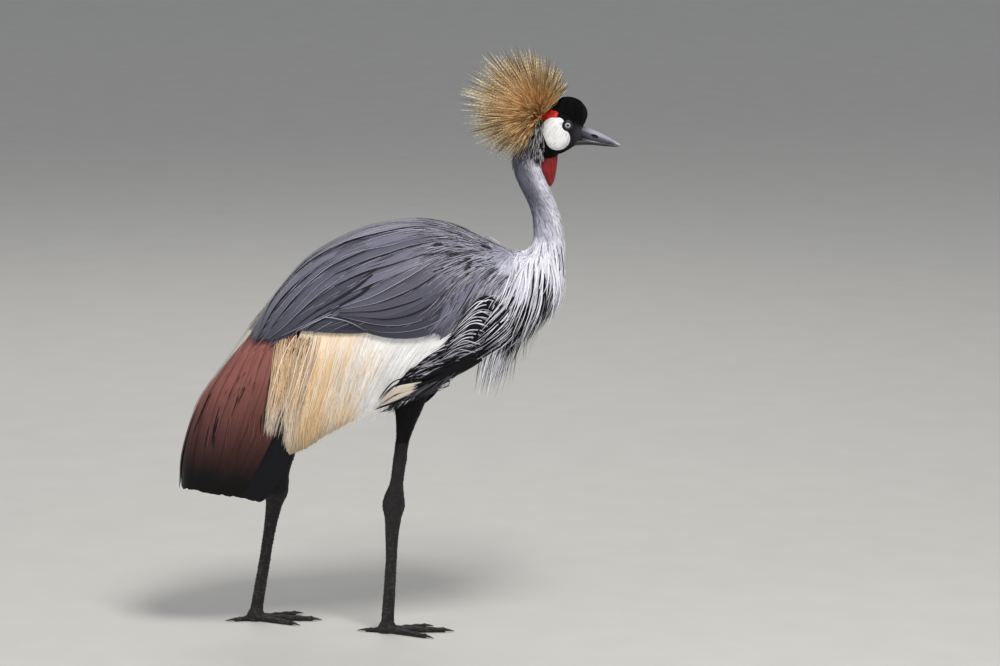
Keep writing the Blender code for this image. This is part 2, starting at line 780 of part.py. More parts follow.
def make_coverts(side, torso, mantle):
    name = "wing_left_coverts" if side > 0 else "wing_right_coverts"
    place = on_wing(side)
    coverts = shell(
        name, place, spaced(COVERTS_START, COVERTS_CORE_END, 5),
        lambda s: (grey_border(s) + 0.004, COVERTS_LOWER_EDGE),
        lambda s, v: -CORE_DEPTH_UNDER_FEATHERS - 2,
        lambda s, v: -WING_CORE_DEPTH + 28 * ease(v, 0.55, COVERTS_LOWER_EDGE), 3, "gold")
    vanes = []
    for first_root, first_tip, last_root, last_tip, count, width, row_depth in COVERT_ROWS:
        for i in range(count):
            share = i / (count - 1)
            root = (mix(first_root[0], last_root[0], share), mix(first_root[1], last_root[1], share))
            tip = (mix(first_tip[0], last_tip[0], share) + wobble(0.05),
                   mix(first_tip[1], last_tip[1], share) + wobble(0.012))
            widths, depths = blade(COVERT_BLADE, width, LAYER_STEP * (i % 2) + row_depth)
            path = lane(root, tip, -0.02)
            vanes.append(vane(place, path, widths, depths, FEATHER_THICKNESS, "gold"))
    fuse(coverts, vanes)
    return cut_clear(coverts, torso, mantle)


def flight_run(side, run, finish):
    first_root, first_tip, last_root, last_tip, count, width, first_layer = run
    place = on_wing(side)
    vanes = []
    for i in range(count):
        share = i / (count - 1)
        root = (mix(first_root[0], last_root[0], share), mix(first_root[1], last_root[1], share))
        tip = (mix(first_tip[0], last_tip[0], share), mix(first_tip[1], last_tip[1], share))
        path = lane(root, tip, -0.03)
        widths, depths = blade(FLIGHT_BLADE, width, FLIGHT_LAYER_STEP * (first_layer + i))
        vanes.append(vane(place, path, widths, depths, FEATHER_THICKNESS, finish))
    return vanes


def make_flight(side, torso, tail, mantle, coverts):
    name = "wing_left_flight" if side > 0 else "wing_right_flight"
    core = shell(
        name, on_wing(side), spaced(FLIGHT_CORE_START, FLIGHT_CORE_END, 5),
        lambda s: (0.32 - 0.26 * ease(s, 3.9, 4.7), 0.86),
        lambda s, v: -FLIGHT_CORE_DEPTH,
        lambda s, v: -FLIGHT_CORE_DEPTH - FLIGHT_CORE_THICKNESS, 4, "chestnut")
    fuse(core, flight_run(side, SECONDARIES, "chestnut") + flight_run(side, PRIMARIES, "black"))
    return cut_clear(core, torso, tail, mantle, coverts)


def make_tail(torso):
    tail = shell(
        "tail", tail_place, spaced(0, TAIL_CORE_END, 4), lambda t: (-TAIL_EDGE, TAIL_EDGE),
        lambda t, v: 0.0, lambda t, v: -TAIL_CORE_THICKNESS, 4, "black")
    vanes = []
    for i in range(TAIL_FEATHERS):
        v = mix(-TAIL_EDGE, TAIL_EDGE, i / (TAIL_FEATHERS - 1))
        tip = len(TAIL) - 1.02 - 0.25 * abs(v)
        path = [(u, v) for u in spaced(0.3, tip, 4)]
        under = TAIL_LAYER_STEP * abs(i - (TAIL_FEATHERS - 1) / 2)
        widths, depths = blade(TAIL_BLADE, TAIL_FEATHER_WIDTH, under)
        vanes.append(vane(tail_place, path, widths, depths, FEATHER_THICKNESS, "black"))
    fuse(tail, vanes)
    return cut_clear(tail, torso)


# Legs and feet

def leg_ring(side, t):
    x, z, fore, sideways = along(LEG_PATHS[side], t)
    last = len(LEG_PATHS[side]) - 1
    if t < HOCK:
        y = mix(THIGH_TOP_Y[side], HOCK_Y[side], t / HOCK)
    else:
        y = mix(HOCK_Y[side], FOOT_Y[side], (t - HOCK) / (last - HOCK))
    return round_ring(Vector((1, 0, 0)), Vector((0, 1, 0)), Vector((x, y, z)), fore, sideways, LEG_SIDES)


def leg_length(side, name, start, end, steps, finish):
    return tube(name, [leg_ring(side, t) for t in spaced(start, end, steps + 1)], finish)


def make_leg(side, torso):
    where = "left" if side > 0 else "right"
    last = len(LEG_PATHS[side]) - 1
    thigh = leg_length(side, f"leg_{where}_thigh", 0, THIGH_END, 4, "slate")
    leg_length(side, f"leg_{where}_shank", THIGH_END + RING_EDGE, SHANK_END, 4, "leg")
    cut_clear(thigh, torso)
    return leg_length(side, f"leg_{where}_tarsus", SHANK_END + RING_EDGE, last - 0.1, 11, "leg")


def toe_rings(start, ahead, length, radius, tip_radius, steps=4, sides=6):
    across = Vector((-ahead.y, ahead.x, 0))
    rings = []
    for i in range(steps + 1):
        share = i / steps
        size = mix(radius, tip_radius, share) * (1 + 0.07 * (-1) ** i)
        middle = start + ahead * (length * share) + Vector((0, 0, size * 0.86))
        ring = round_ring(across, Vector((0, 0, 1)), middle, size, size, sides, math.pi / sides)
        for point in ring:
            point.z = max(point.z, 0)
        rings.append(ring)
    return rings


def claw_rings(root, ahead, radius, steps=2, sides=5):
    across = Vector((-ahead.y, ahead.x, 0))
    rings = []
    for i in range(steps + 1):
        share = i / steps
        size = mix(radius, 0.5, share)
        height = mix(radius + 1, CLAW_DROP + 0.4, share ** 2)
        middle = root + ahead * (CLAW_LENGTH * share + 4 * share) + Vector((0, 0, height))
        rings.append(round_ring(across, Vector((0, 0, 1)), middle, size, size, sides))
    return rings


def make_foot(side, tarsus):
    where = "left" if side > 0 else "right"
    x = LEG_PATHS[side][-1][0]
    centre = Vector((x, FOOT_Y[side], 0))
    pad = [round_ring(Vector((1, 0, 0)), Vector((0, 1, 0)), centre + Vector((0, 0, z)), fore, across, 10)
           for z, fore, across in FOOT_PAD]
    foot = tube(f"foot_{where}", pad, "leg")
    toes, claws = [], []
    for toe, (bearing, length, radius) in TOES.items():
        turn = math.radians(bearing) * side
        ahead = Vector((math.cos(turn), math.sin(turn), 0))
        tip_radius = radius * TOE_TIP_SHARE
        toes.append(tube("toe", toe_rings(centre, ahead, length, radius, tip_radius), "leg"))
        rings = claw_rings(centre + ahead * (length - 4), ahead, tip_radius * CLAW_SHARE)
        claws.append(tube(f"claw_{where}_{toe}", rings, "horn"))
    fuse(foot, toes)
    cut_clear(foot, tarsus)
    for claw in claws:
        cut_clear(claw, foot)


def centre_on_floor():
    # The origin is the middle of the bird's outer box, on the floor.
    nodes = [obj for obj in bpy.data.objects if obj.type == "MESH"]
    corners = np.array([v.co for obj in nodes for v in obj.data.vertices])
    low, high = corners.min(axis=0), corners.max(axis=0)
    shift = Vector((-(low[0] + high[0]) / 2, -(low[1] + high[1]) / 2, -low[2]))
    for obj in nodes:
        obj.data.transform(Matrix.Translation(shift))


def main():
    for obj in list(bpy.data.objects):
        bpy.data.objects.remove(obj)
    random.seed(SEED)
    torso = make_torso()
    neck_upper, _ = make_neck(torso)
    eyes = [make_eye(side) for side in (-1, 1)]
    head = make_head(neck_upper, eyes)
    make_bill(head)
    make_wattle(neck_upper, head)
    make_crest(head, neck_upper, eyes)
    tail = make_tail(torso)
    for side in (-1, 1):
        mantle = make_mantle(side, torso)
        coverts = make_coverts(side, torso, mantle)
        make_flight(side, torso, tail, mantle, coverts)
        tarsus = make_leg(side, torso)
        make_foot(side, tarsus)
    for obj in [obj for obj in bpy.data.objects if obj.name.endswith(CLEARANCE)]:
        discard(obj)
    centre_on_floor()


main()
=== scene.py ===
# Grey crowned crane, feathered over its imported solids.
# The tables and settings are in millimetres, in the bird's own frame: +X to the bill, -Y its right side.
# Lines and lies that are read off the photograph are in its pixels, px to the right and py down.
import math

import bmesh
import bpy
import numpy as np
from mathutils import Matrix, Vector


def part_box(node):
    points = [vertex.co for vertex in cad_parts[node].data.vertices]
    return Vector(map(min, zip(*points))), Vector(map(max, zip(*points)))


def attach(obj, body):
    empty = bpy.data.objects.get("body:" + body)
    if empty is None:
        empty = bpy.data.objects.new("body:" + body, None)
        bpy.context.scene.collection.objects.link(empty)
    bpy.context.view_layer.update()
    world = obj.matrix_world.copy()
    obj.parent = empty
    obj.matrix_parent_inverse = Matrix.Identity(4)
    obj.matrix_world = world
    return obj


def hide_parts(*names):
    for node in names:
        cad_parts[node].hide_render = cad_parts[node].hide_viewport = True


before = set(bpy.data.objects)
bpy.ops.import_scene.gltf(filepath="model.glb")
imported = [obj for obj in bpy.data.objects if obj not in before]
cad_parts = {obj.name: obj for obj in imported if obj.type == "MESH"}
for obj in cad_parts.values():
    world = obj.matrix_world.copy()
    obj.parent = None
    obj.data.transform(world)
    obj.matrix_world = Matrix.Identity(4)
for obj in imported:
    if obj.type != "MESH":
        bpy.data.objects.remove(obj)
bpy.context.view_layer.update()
rng = np.random.default_rng(11)

# the solids' own rings: x and z of the upper edge, x and z of the lower edge, half the width
neckAndBody = np.array([
    (208, 817, 244, 789, 20), (188, 783, 230, 772, 21), (190, 747, 236, 750, 20), (213, 697, 257, 700, 20),
    (219, 665, 268, 662, 23), (217, 636, 270, 622, 31), (199, 622, 262, 573, 50), (160, 636, 217, 510, 70),
    (109, 652, 150, 470, 80), (45, 661, 72, 421, 86), (-40, 648, -24, 388, 87), (-110, 602, -96, 386, 79),
    (-170, 532, -156, 398, 58), (-214, 470, -203, 408, 30), (-236, 440, -229, 416, 12)], float)
foldedWings = np.array([
    (166, 633, 174, 472, 86), (69, 674, 69, 423, 107), (-36, 669, -41, 371, 113), (-138, 620, -122, 325, 108),
    (-213, 538, -174, 292, 95), (-271, 456, -203, 256, 82), (-325, 379, -231, 223, 70),
    (-352, 300, -262, 217, 61), (-357, 240, -312, 221, 52)], float)
headRings = np.array([
    (219, 849, 221, 799, 18), (232, 859, 238, 786, 22), (248, 862, 253, 781, 24), (263, 860, 267, 784, 23.5),
    (277, 853, 278, 790, 20), (290, 841, 288, 796, 14), (300, 829, 298, 799, 9)], float)
# x, z and half the width along the tail, then x, z and the half depth and width down each leg
tailLine = np.array([
    (-205, 437, 17), (-236, 400, 26), (-268, 335, 32), (-290, 279, 34), (-300, 244, 34)], float)
legLines = {
    -1: np.array([
        (26, 428, 34, 25), (20, 385, 25, 20), (13, 345, 15, 13), (7, 315, 10.5, 9.5), (3, 285, 10, 9),
        (-2, 250, 10, 9), (-6, 228, 15, 11), (-7, 210, 17, 12), (-8, 192, 12.5, 9.5), (-10, 160, 9.6, 7),
        (-11, 125, 8.2, 6.2), (-13, 90, 8.4, 6.2), (-15, 58, 8.8, 6.6), (-17, 30, 9, 7.6), (-18, 9, 10, 9)],
        float),
    1: np.array([
        (-118, 428, 34, 25), (-137, 388, 25, 20), (-155, 348, 15, 13), (-168, 318, 10.5, 9.5),
        (-178, 288, 10, 9), (-189, 254, 10, 9), (-196, 234, 15, 11), (-200, 216, 17, 12),
        (-204, 198, 12.5, 9.5), (-210, 166, 9.6, 7), (-216, 131, 8.2, 6.2), (-222, 94, 8.4, 6.2),
        (-228, 60, 8.8, 6.6), (-233, 31, 9, 7.6), (-236, 9, 10, 9)], float)}
thighTopY, hockY, footY = {-1: -44, 1: 42}, {-1: -36, 1: 44}, {-1: -30, 1: 62}
hockRow, shankRow = 7, 3.2  # rows of a leg's table where the heel is, and where bare skin starts
eyeCentre, eyeRadius = (274.5, 14.6, 831.5), 7.5
bothSides = ((-1, "right"), (1, "left"))

# where the solids stand, from the two eyes' boxes
eyeBoxes = [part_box("eye_left"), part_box("eye_right")]
eyeMiddle = sum(((low + high) / 2 for low, high in eyeBoxes), Vector()) / 2 * 1000
shift = np.array(eyeMiddle) - np.array([eyeCentre[0], 0, eyeCentre[2]])


def placed(points):
    # millimetres of the bird's frame to metres of the solids' frame
    return (np.asarray(points, float) + shift) * 0.001


def tint(red, green, blue):
    # a colour as it is read off a picture, 0 to 255, to linear light
    shares = np.array([red, green, blue], float) / 255
    return np.where(shares < 0.04045, shares / 12.92, ((shares + 0.055) / 1.055) ** 2.4)


def ease(value, low, high):
    share = np.clip((np.asarray(value, float) - low) / (high - low), 0, 1)
    return share * share * (3 - 2 * share)


def between(one, two, share):
    return one + (two - one) * share


def mixed(one, two, share):
    # two colours by one share, or by a share for each of many places
    share = np.asarray(share, float)
    return one + (two - one) * (share[..., None] if share.ndim else share)


def kept(keep, *values):
    return [value[keep] for value in values]


def unit(vectors):
    return vectors / np.maximum(np.linalg.norm(vectors, axis=-1, keepdims=True), 1e-9)


def curveAt(rows, t):
    # a smooth curve through the rows, straight on past either end
    t = np.asarray(t, float)
    last = len(rows) - 1
    i = np.clip(np.floor(t).astype(int), 0, last - 1)
    u = (t - i)[..., None]
    p1, p2 = rows[i], rows[i + 1]
    p0 = np.where((i > 0)[..., None], rows[np.maximum(i - 1, 0)], 2 * p1 - p2)
    p3 = np.where((i + 2 <= last)[..., None], rows[np.minimum(i + 2, last)], 2 * p2 - p1)
    v = np.clip(u, 0, 1)
    smooth = 0.5 * (2 * p1 + (p2 - p0) * v + (2 * p0 - 5 * p1 + 4 * p2 - p3) * v ** 2
                    + (3 * p1 - p0 - 3 * p2 + p3) * v ** 3)
    return smooth + (p2 - p1) * (u - v)


# camera, at the photograph's angle and framing
view = {"elevation": 9.5, "distance": 9000, "lens": 200, "sensor": 36, "aim": (165.6, 0, 490),
        "middle": (500, 333)}
pixelSize = 1.62  # millimetres of the bird to one pixel of the picture
camera = bpy.data.objects.new("camera", bpy.data.cameras.new("camera"))
bpy.context.scene.collection.objects.link(camera)
tilt = math.radians(view["elevation"])
toCamera = Vector((0, -math.cos(tilt), math.sin(tilt)))
camera.location = Vector(placed(view["aim"])) + toCamera * view["distance"] * 0.001
camera.rotation_euler = (-toCamera).to_track_quat("-Z", "Y").to_euler()
camera.data.lens, camera.data.sensor_width = view["lens"], view["sensor"]
camera.data.clip_end = 100
bpy.context.scene.camera = camera


def pictured(points):
    # where the camera sees places, in the picture's own pixels; the far side counts as the near one
    off = points * [1, 0, 1] - np.abs(points) * [0, 1, 0] - view["aim"]
    scale = view["lens"] / view["sensor"] * 1000 / (view["distance"] - off @ np.array(toCamera))
    rise = off @ np.array([0, math.sin(tilt), math.cos(tilt)])
    return np.stack([view["middle"][0] + off[..., 0] * scale, view["middle"][1] - rise * scale], -1)


class Form:
    # a smooth surface over two numbers: a runs along the bird, b runs round it
    def __init__(self, at, stepA, stepB, sign, span=((-0.3, 8.5), (0, 1.15))):
        self.at, self.stepA, self.stepB, self.sign, self.span, self.shown = at, stepA, stepB, sign, span, None

    def slopes(self, a, b):
        byA = (self.at(a + self.stepA, b) - self.at(a - self.stepA, b)) / (2 * self.stepA)
        byB = (self.at(a, b + self.stepB) - self.at(a, b - self.stepB)) / (2 * self.stepB)
        return byA, byB

    def normal(self, a, b):
        byA, byB = self.slopes(a, b)
        return unit(np.cross(byB, byA)) * self.sign

    def steps(self, a, b, way):
        # how far a and b move for one millimetre of a way in the surface
        byA, byB = self.slopes(a, b)
        aa, ab, bb = (byA * byA).sum(-1), (byA * byB).sum(-1), (byB * byB).sum(-1)
        pa, pb = (byA * way).sum(-1), (byB * way).sum(-1)
        size = np.maximum(aa * bb - ab * ab, 1e-6)
        return (pa * bb - pb * ab) / size, (pb * aa - pa * ab) / size

    def walk(self, a, b, way, length, count, scatter, curl):
        # one path for each feather over the surface, in the way the coat lies there
        pathA, pathB = [a], [b]
        for i in range(count - 1):
            byA, byB = self.slopes(a, b)
            face = unit(np.cross(byB, byA)) * self.sign
            ahead = way(self.at(a, b), unit(byA))
            ahead = unit(ahead - (ahead * face).sum(-1, keepdims=True) * face)
            down = np.cross(face, ahead) * -self.sign
            turn = np.radians(scatter + curl * i / count)[..., None]
            da, db = self.steps(a, b, ahead * np.cos(turn) + down * np.sin(turn))
            a, b = a + da * length / (count - 1), b + db * length / (count - 1)
            pathA.append(a)
            pathB.append(b)
        return np.stack(pathA, 1), np.stack(pathB, 1)

    def spread(self, pathA, pathB, halfWidth, lift, columns, crown, tilt=0.0):
        # rows of points across each path, all at their own height over the surface
        centre = self.at(pathA, pathB)
        ahead = unit(np.gradient(centre, axis=1))
        across = unit(np.cross(self.normal(pathA, pathB), ahead))
        da, db = self.steps(pathA, pathB, across)
        x = np.linspace(-1, 1, columns)
        gridA = pathA[..., None] + (da * halfWidth)[..., None] * x
        gridB = pathB[..., None] + (db * halfWidth)[..., None] * x
        # the lower edge stands a little proud, over the next feather's upper one
        height = lift[..., None] + halfWidth[..., None] * (crown * (1 - x ** 2) - self.sign * tilt * x)
        return self.at(gridA, gridB) + self.normal(gridA, gridB) * height[..., None]


def upRing(row, share):
    # x and z on a ring's line from its lower edge to its upper one
    return between(row[..., 2], row[..., 0], share), between(row[..., 3], row[..., 1], share)


def heightIn(z, top, low, most=1.0):
    # from -1 at the lower edge to 1 at the upper one
    return np.clip((2 * z - top - low) / (top - low), -most, most)


def wingOut(row, x, z):
    # how far out the folded wing stands, less and less ahead of the shoulder
    height = heightIn(z, row[..., 1], row[..., 3])
    out = np.where(height > 0, np.sqrt(1 - height ** 2), 1 - 0.2 * height ** 2)
    return row[..., 4] * out * (1 - ease(x, 160, 225))


def shoulder(x, z):
    # the breast and flank run smoothly on to the wing
    row = curveAt(foldedWings, np.interp(x, [-41, 69, 170], [2, 1, 0]))
    return wingOut(row, x, z) * ease(x, 0, 70) * ease(z, 395, 470) - 6


def bodyForm(side):
    def at(t, turn):
        row = curveAt(neckAndBody, t)
        c, s = np.cos(np.radians(turn)), np.sin(np.radians(turn))
        squareness = 1 - 0.12 * ease(t, 5, 7)
        up = np.sign(c) * np.abs(c) ** squareness
        out = np.sign(s) * np.abs(s) ** squareness
        x, z = upRing(row, (up + 1) / 2)
        y = row[..., 4] * out
        return np.stack([x, side * np.sign(y) * np.maximum(np.abs(y), shoulder(x, z)), z], -1)

    return Form(at, 0.02, 1.0, side, ((-0.5, 14), (0, 180)))


def wingForm(side):
    def at(s, v):
        row = curveAt(foldedWings, s)
        drop = 2 * v - 1
        high = v < 0.5
        height = np.where(high, np.cos(np.pi * v), -drop)
        out = np.where(high, np.sin(np.pi * v), 1 - 0.2 * drop ** 2)
        x, z = upRing(row, (height + 1) / 2)
        return np.stack([x, side * row[..., 4] * out, z], -1)

    return Form(at, 0.02, 0.01, side)


def legForm(side):
    rows = legLines[side]
    last = len(rows) - 1

    def at(t, turn):
        row = curveAt(rows, t)
        y = np.where(t < hockRow, between(thighTopY[side], hockY[side], t / hockRow),
                     between(hockY[side], footY[side], (t - hockRow) / (last - hockRow)))
        c, s = np.cos(np.radians(turn)), np.sin(np.radians(turn))
        return np.stack([row[..., 0] + row[..., 2] * c, y + row[..., 3] * s, row[..., 1] + 0 * c], -1)

    return Form(at, 0.02, 1.0, -1, ((-0.5, 14), (0, 360)))


def tailForm():
    def at(t, v):
        row = curveAt(tailLine, t)
        ahead = curveAt(tailLine, t + 0.02) - curveAt(tailLine, t - 0.02)
        flat = np.stack([ahead[..., 1], 0 * t, -ahead[..., 0]], -1)
        up = unit(np.where(flat[..., 2:] > 0, flat, -flat))
        middle = np.stack([row[..., 0], row[..., 2] * v, row[..., 1]], -1)
        return middle + up * (-5 * v ** 2)[..., None]

    return Form(at, 0.02, 0.02, 1)


def ballForm(centre, radii, tilt=0.0):
    # a runs from the front of the ball to its back in degrees, b goes round it from the top
    c, s = math.cos(tilt), math.sin(tilt)

    def at(a, b):
        a, b = np.radians(a), np.radians(b)
        x, y, z = np.cos(a) * radii[0], np.sin(a) * np.sin(b) * radii[1], np.sin(a) * np.cos(b) * radii[2]
        return np.stack([centre[0] + x * c + z * s, centre[1] + y, centre[2] - x * s + z * c], -1)

    return Form(at, 1.0, 1.0, 1)


def headForm():
    def at(t, turn):
        row = curveAt(headRings, t)
        x, z = upRing(row, (np.cos(np.radians(turn)) + 1) / 2)
        return np.stack([x, row[..., 4] * np.sin(np.radians(turn)), z], -1)

    return Form(at, 0.02, 1.0, -1)


# how the coat lies in the picture, in degrees down from the way to the tail
def straight(points, ahead):
    return ahead


def lie(degrees):
    def way(points, ahead):
        turn = np.radians(degrees(*np.moveaxis(pictured(points), -1, 0)) + 0 * points[..., 0])
        return np.stack([-np.cos(turn), 0 * turn, -np.sin(turn)], -1)

    return way


def fromTable(columns, rows, table):
    table = np.array(table, float)

    def value(x, z):
        i = np.interp(x, columns, np.arange(len(columns)))
        j = np.interp(z, rows, np.arange(len(rows)))
        i0, j0 = np.minimum(i.astype(int), len(columns) - 2), np.minimum(j.astype(int), len(rows) - 2)
        u, v = i - i0, j - j0
        low = between(table[j0, i0], table[j0, i0 + 1], u)
        return between(low, between(table[j0 + 1, i0], table[j0 + 1, i0 + 1], u), v)

    return value


mantleLie = fromTable([240, 270, 310, 350, 390, 420, 450, 480], [235, 265, 290, 320], [
    (60, 42, 30, 24, 22, 20, 17, 16), (60, 45, 35, 28, 26, 27, 30, 34),
    (58, 46, 36, 30, 30, 36, 50, 56), (55, 40, 30, 20, 22, 34, 52, 62)])
bodyLie = fromTable([400, 440, 470, 500, 530, 560], [240, 270, 300, 330, 360, 390], [
    (20, 20, 28, 60, 92, 94), (25, 30, 36, 54, 80, 90), (25, 35, 42, 48, 60, 78),
    (20, 20, 26, 45, 54, 60), (18, 12, 14, 40, 58, 62), (22, 14, 14, 35, 62, 66)])


# markings that the skin and the coat share, all in the side view
def paleLine(px):
    # the white breast lies above this line of the picture, black shows between the hackles below it
    return np.interp(px, (470, 500, 512, 525, 540, 552, 562), (285, 296, 305, 303, 292, 286, 280))


def headBlack(x, z):
    # the throat and a narrow band behind the cheek
    return ease(z, 772, 780) * ease(x - 0.2 * (z - 790), 222, 230)


# white cheek and the red over it, as rounds of centre x, z and radii
cheekRounds = ((251.5, 825, 19, 19.5), (258.5, 809.8, 20, 19.4), (259.5, 833.5, 10, 10.8),
               (254.5, 816.5, 19, 17.5))
redRounds = ((243, 847.5, 12.0, 10.5), (252, 849, 8.5, 6))


def inRounds(rounds, x, z):
    # how far inside the rounds a place is, 0 at their edge
    return np.max([1 - np.hypot((x - cx) / rx, (z - cz) / rz) for cx, cz, rx, rz in rounds], 0)


def bareFace(points):
    x, y, z = points[..., 0], np.abs(points[..., 1]), points[..., 2]
    return (np.maximum(inRounds(cheekRounds, x, z), inRounds(redRounds, x, z)) > -0.03) & (y > 9)


# coats of feathers as joined, closed blades; an outline is half the width at shares of the length
outlines = {
    "lance": ([0, 0.2, 0.5, 0.8, 1], [0.5, 1, 0.85, 0.45, 0]),
    "leaf": ([0, 0.12, 0.4, 0.75, 0.92, 1], [0.4, 0.85, 1, 0.75, 0.35, 0]),
    "bristle": ([0, 0.4, 1], [0.75, 1, 0.65]),
    "hair": ([0, 0.3, 0.7, 1], [0.7, 1, 0.7, 0.1]),
    "quill": ([0, 0.1, 0.35, 0.8, 0.93, 1], [0.35, 0.7, 1, 0.92, 0.6, 0]),
    "round": ([0, 0.1, 0.35, 0.9, 0.96, 0.985, 1], [0.35, 0.7, 1, 1, 0.85, 0.6, 0]),
    "scute": ([0, 0.2, 0.7, 1], [0.85, 1, 0.9, 0.3]),
}


class Coat:
    def __init__(self, name, side=-1):
        self.name, self.side, self.size, self.parts = name, side, 0, []

    def add(self, points, root, paint, grain):
        # points are feathers x stations x columns; the last station closes to a tip
        n, k, c, _ = points.shape
        size = (k - 1) * c + 1
        spots = np.concatenate([points[:, :-1].reshape(n, -1, 3), points[:, -1].mean(1, keepdims=True)], 1)
        paint = np.broadcast_to(paint, points.shape)
        paint = np.concatenate([paint[:, :-1].reshape(n, -1, 3), paint[:, -1].mean(1, keepdims=True)], 1)
        i, j = np.meshgrid(np.arange(k - 2), np.arange(c), indexing="ij")
        following = (j + 1) % c
        quads = np.stack([i * c + j, (i + 1) * c + j, (i + 1) * c + following, i * c + following], -1)
        ring = np.arange(c)
        tips = np.stack([(k - 2) * c + ring, np.full(c, size - 1), (k - 2) * c + (ring + 1) % c], -1)
        heels = np.stack([0 * ring[1:-1], ring[1:-1], ring[1:-1] + 1], -1)
        starts = self.size + size * np.arange(n)
        quads = (starts[:, None, None] + quads.reshape(-1, 4)).reshape(-1, 4)
        thirds = (starts[:, None, None] + np.concatenate([tips, heels])).reshape(-1, 3)
        u = np.append(np.tile(np.linspace(0, 1, c), k - 1), 0.5)
        u = u if self.side < 0 else 1 - u
        v = np.append(np.repeat(np.linspace(0, 1, k)[:-1], c), 1.0)
        vane = np.broadcast_to(np.stack([u, v], -1), (n, size, 2))
        bake = root[:, None] + (vane - 0.5) * 0.003
        grain = np.broadcast_to(grain[:, None], (n, size))
        self.parts.append((spots.reshape(-1, 3), paint.reshape(-1, 3), vane.reshape(-1, 2),
                           bake.reshape(-1, 2), grain.reshape(-1), quads, thirds))
        self.size += n * size

    def finish(self, finish, slot, nodes=()):
        spots, paint, vane, bake, grain, quads, thirds = (np.concatenate(p) for p in zip(*self.parts))
        mesh = bpy.data.meshes.new(self.name)
        mesh.vertices.add(len(spots))
        mesh.vertices.foreach_set("co", placed(spots).ravel())
        corners = np.concatenate([quads.ravel(), thirds.ravel()])
        mesh.loops.add(len(corners))
        mesh.loops.foreach_set("vertex_index", corners)
        mesh.polygons.add(len(quads) + len(thirds))
        starts = np.concatenate([4 * np.arange(len(quads)), 4 * len(quads) + 3 * np.arange(len(thirds))])
        mesh.polygons.foreach_set("loop_start", starts)
        mesh.update(calc_edges=True)
        for name, places in (("Vane", vane), ("OFBake", bake)):
            mesh.uv_layers.new(name=name).data.foreach_set("uv", places[corners].ravel())
        colours = np.concatenate([paint, np.ones((len(paint), 1))], 1)
        mesh.attributes.new("paint", "FLOAT_COLOR", "POINT").data.foreach_set("color", colours.ravel())
        mesh.attributes.new("grain", "FLOAT", "POINT").data.foreach_set("value", grain)
        mesh.shade_smooth()
        mesh.set_sharp_from_angle(angle=math.radians(65))
        made = bpy.data.objects.new(self.name, mesh)
        bpy.context.scene.collection.objects.link(made)
        settle(made, finish, nodes)
        print(self.name, len(quads) * 2 + len(thirds), "triangles")
        return made


def settle(obj, finish, nodes=()):
    obj.data.materials.clear()
    obj.data.materials.append(finish)
    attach(obj, "root")
    if nodes:
        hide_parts(*nodes)
    return obj


def rowsOver(form, a, aEnd, low, high, gapA, gapB, jitter=0.35):
    # roots in staggered rows, evenly spaced over the surface
    found, row = [], 0
    while a < aEnd:
        lowB, highB, stepA, stepB = (v(a) if callable(v) else v for v in (low, high, gapA, gapB))
        b = np.linspace(lowB, highB, 50)
        line = form.at(np.full(50, a), b)
        run = np.concatenate([[0], np.cumsum(np.linalg.norm(np.diff(line, axis=0), axis=1))])
        pace = np.linalg.norm(form.slopes(np.full(50, a), b)[0], axis=-1).mean()
        count = max(int(run[-1] / stepB), 1)
        places = np.arange(count) + 0.5 * (row % 2) + rng.uniform(-jitter, jitter, count)
        found.append(np.stack([a + rng.uniform(-jitter, jitter, count) * stepA / pace,
                               np.interp(places * run[-1] / count, run, b)]))
        a += stepA / pace
        row += 1
    return np.concatenate(found, 1)


def grow(coat, form, a, b, length, width, way, paint, stations=7, columns=3, outline="lance",
         lift=(-1.0, 1.0), crown=0.3, tilt=0.0, scatter=4, curl=0, swing=(0, 0), tip=None, tipFrom=0.4,
         ragged=0.0):
    # feathers from their roots on a form, in the way the coat lies; ragged makes their edges uneven
    n = len(a)
    shares = np.linspace(0, 1, stations)
    length = np.broadcast_to(length, n) * rng.uniform(0.88, 1.12, n)
    width = np.broadcast_to(width, n) * rng.uniform(0.85, 1.15, n)
    bend = rng.normal(0, 1, n) * curl
    pathA, pathB = form.walk(a, b, way, length, stations, rng.normal(0, 1, n) * scatter + swing[0],
                             bend + swing[1])
    half = width[:, None] / 2 * np.interp(shares, *outlines[outline])
    half = half * (1 + ragged * rng.uniform(-1, 1, half.shape))
    height = between(lift[0], lift[1], shares) + rng.normal(0, 0.25, (n, 1)) * shares
    points = form.spread(pathA, pathB, half, height, columns, crown, tilt)
    paintFeathers(coat, points, paint, unwrapped(form, a, b), tip, tipFrom)


def unwrapped(form, a, b):
    # a root's place on the form laid flat, with the bird's two sides on either side of the middle
    (lowA, highA), (lowB, highB) = form.span
    u, v = np.clip((a - lowA) / (highA - lowA), 0, 1), np.clip((b - lowB) / (highB - lowB), 0, 1)
    return np.stack([0.02 + 0.96 * u, 0.5 + form.sign * (0.01 + 0.47 * v)], -1)


def paintFeathers(coat, points, paint, root, tip=None, tipFrom=0.4):
    # tipFrom is where along the feather the tip's colour starts, and where it is full if not at the end
    n, k = points.shape[:2]
    colour = np.broadcast_to(np.broadcast_to(paint, (n, 3))[:, None, None], points.shape)
    if tip is not None:
        ends = np.broadcast_to(tip, (n, 3))[:, None, None]
        share = ease(np.linspace(0, 1, k)[:, None, None], *np.append(tipFrom, 1.0)[:2])
        colour = colour + (ends - colour) * share
    coat.add(points, root, colour, rng.uniform(0, 1, n))


def varied(colours, amount, n=None):
    # each feather a little lighter or darker than the next
    colours = np.broadcast_to(colours, (n or len(colours), 3))
    return colours * np.exp(rng.normal(0, amount, (len(colours), 1)))


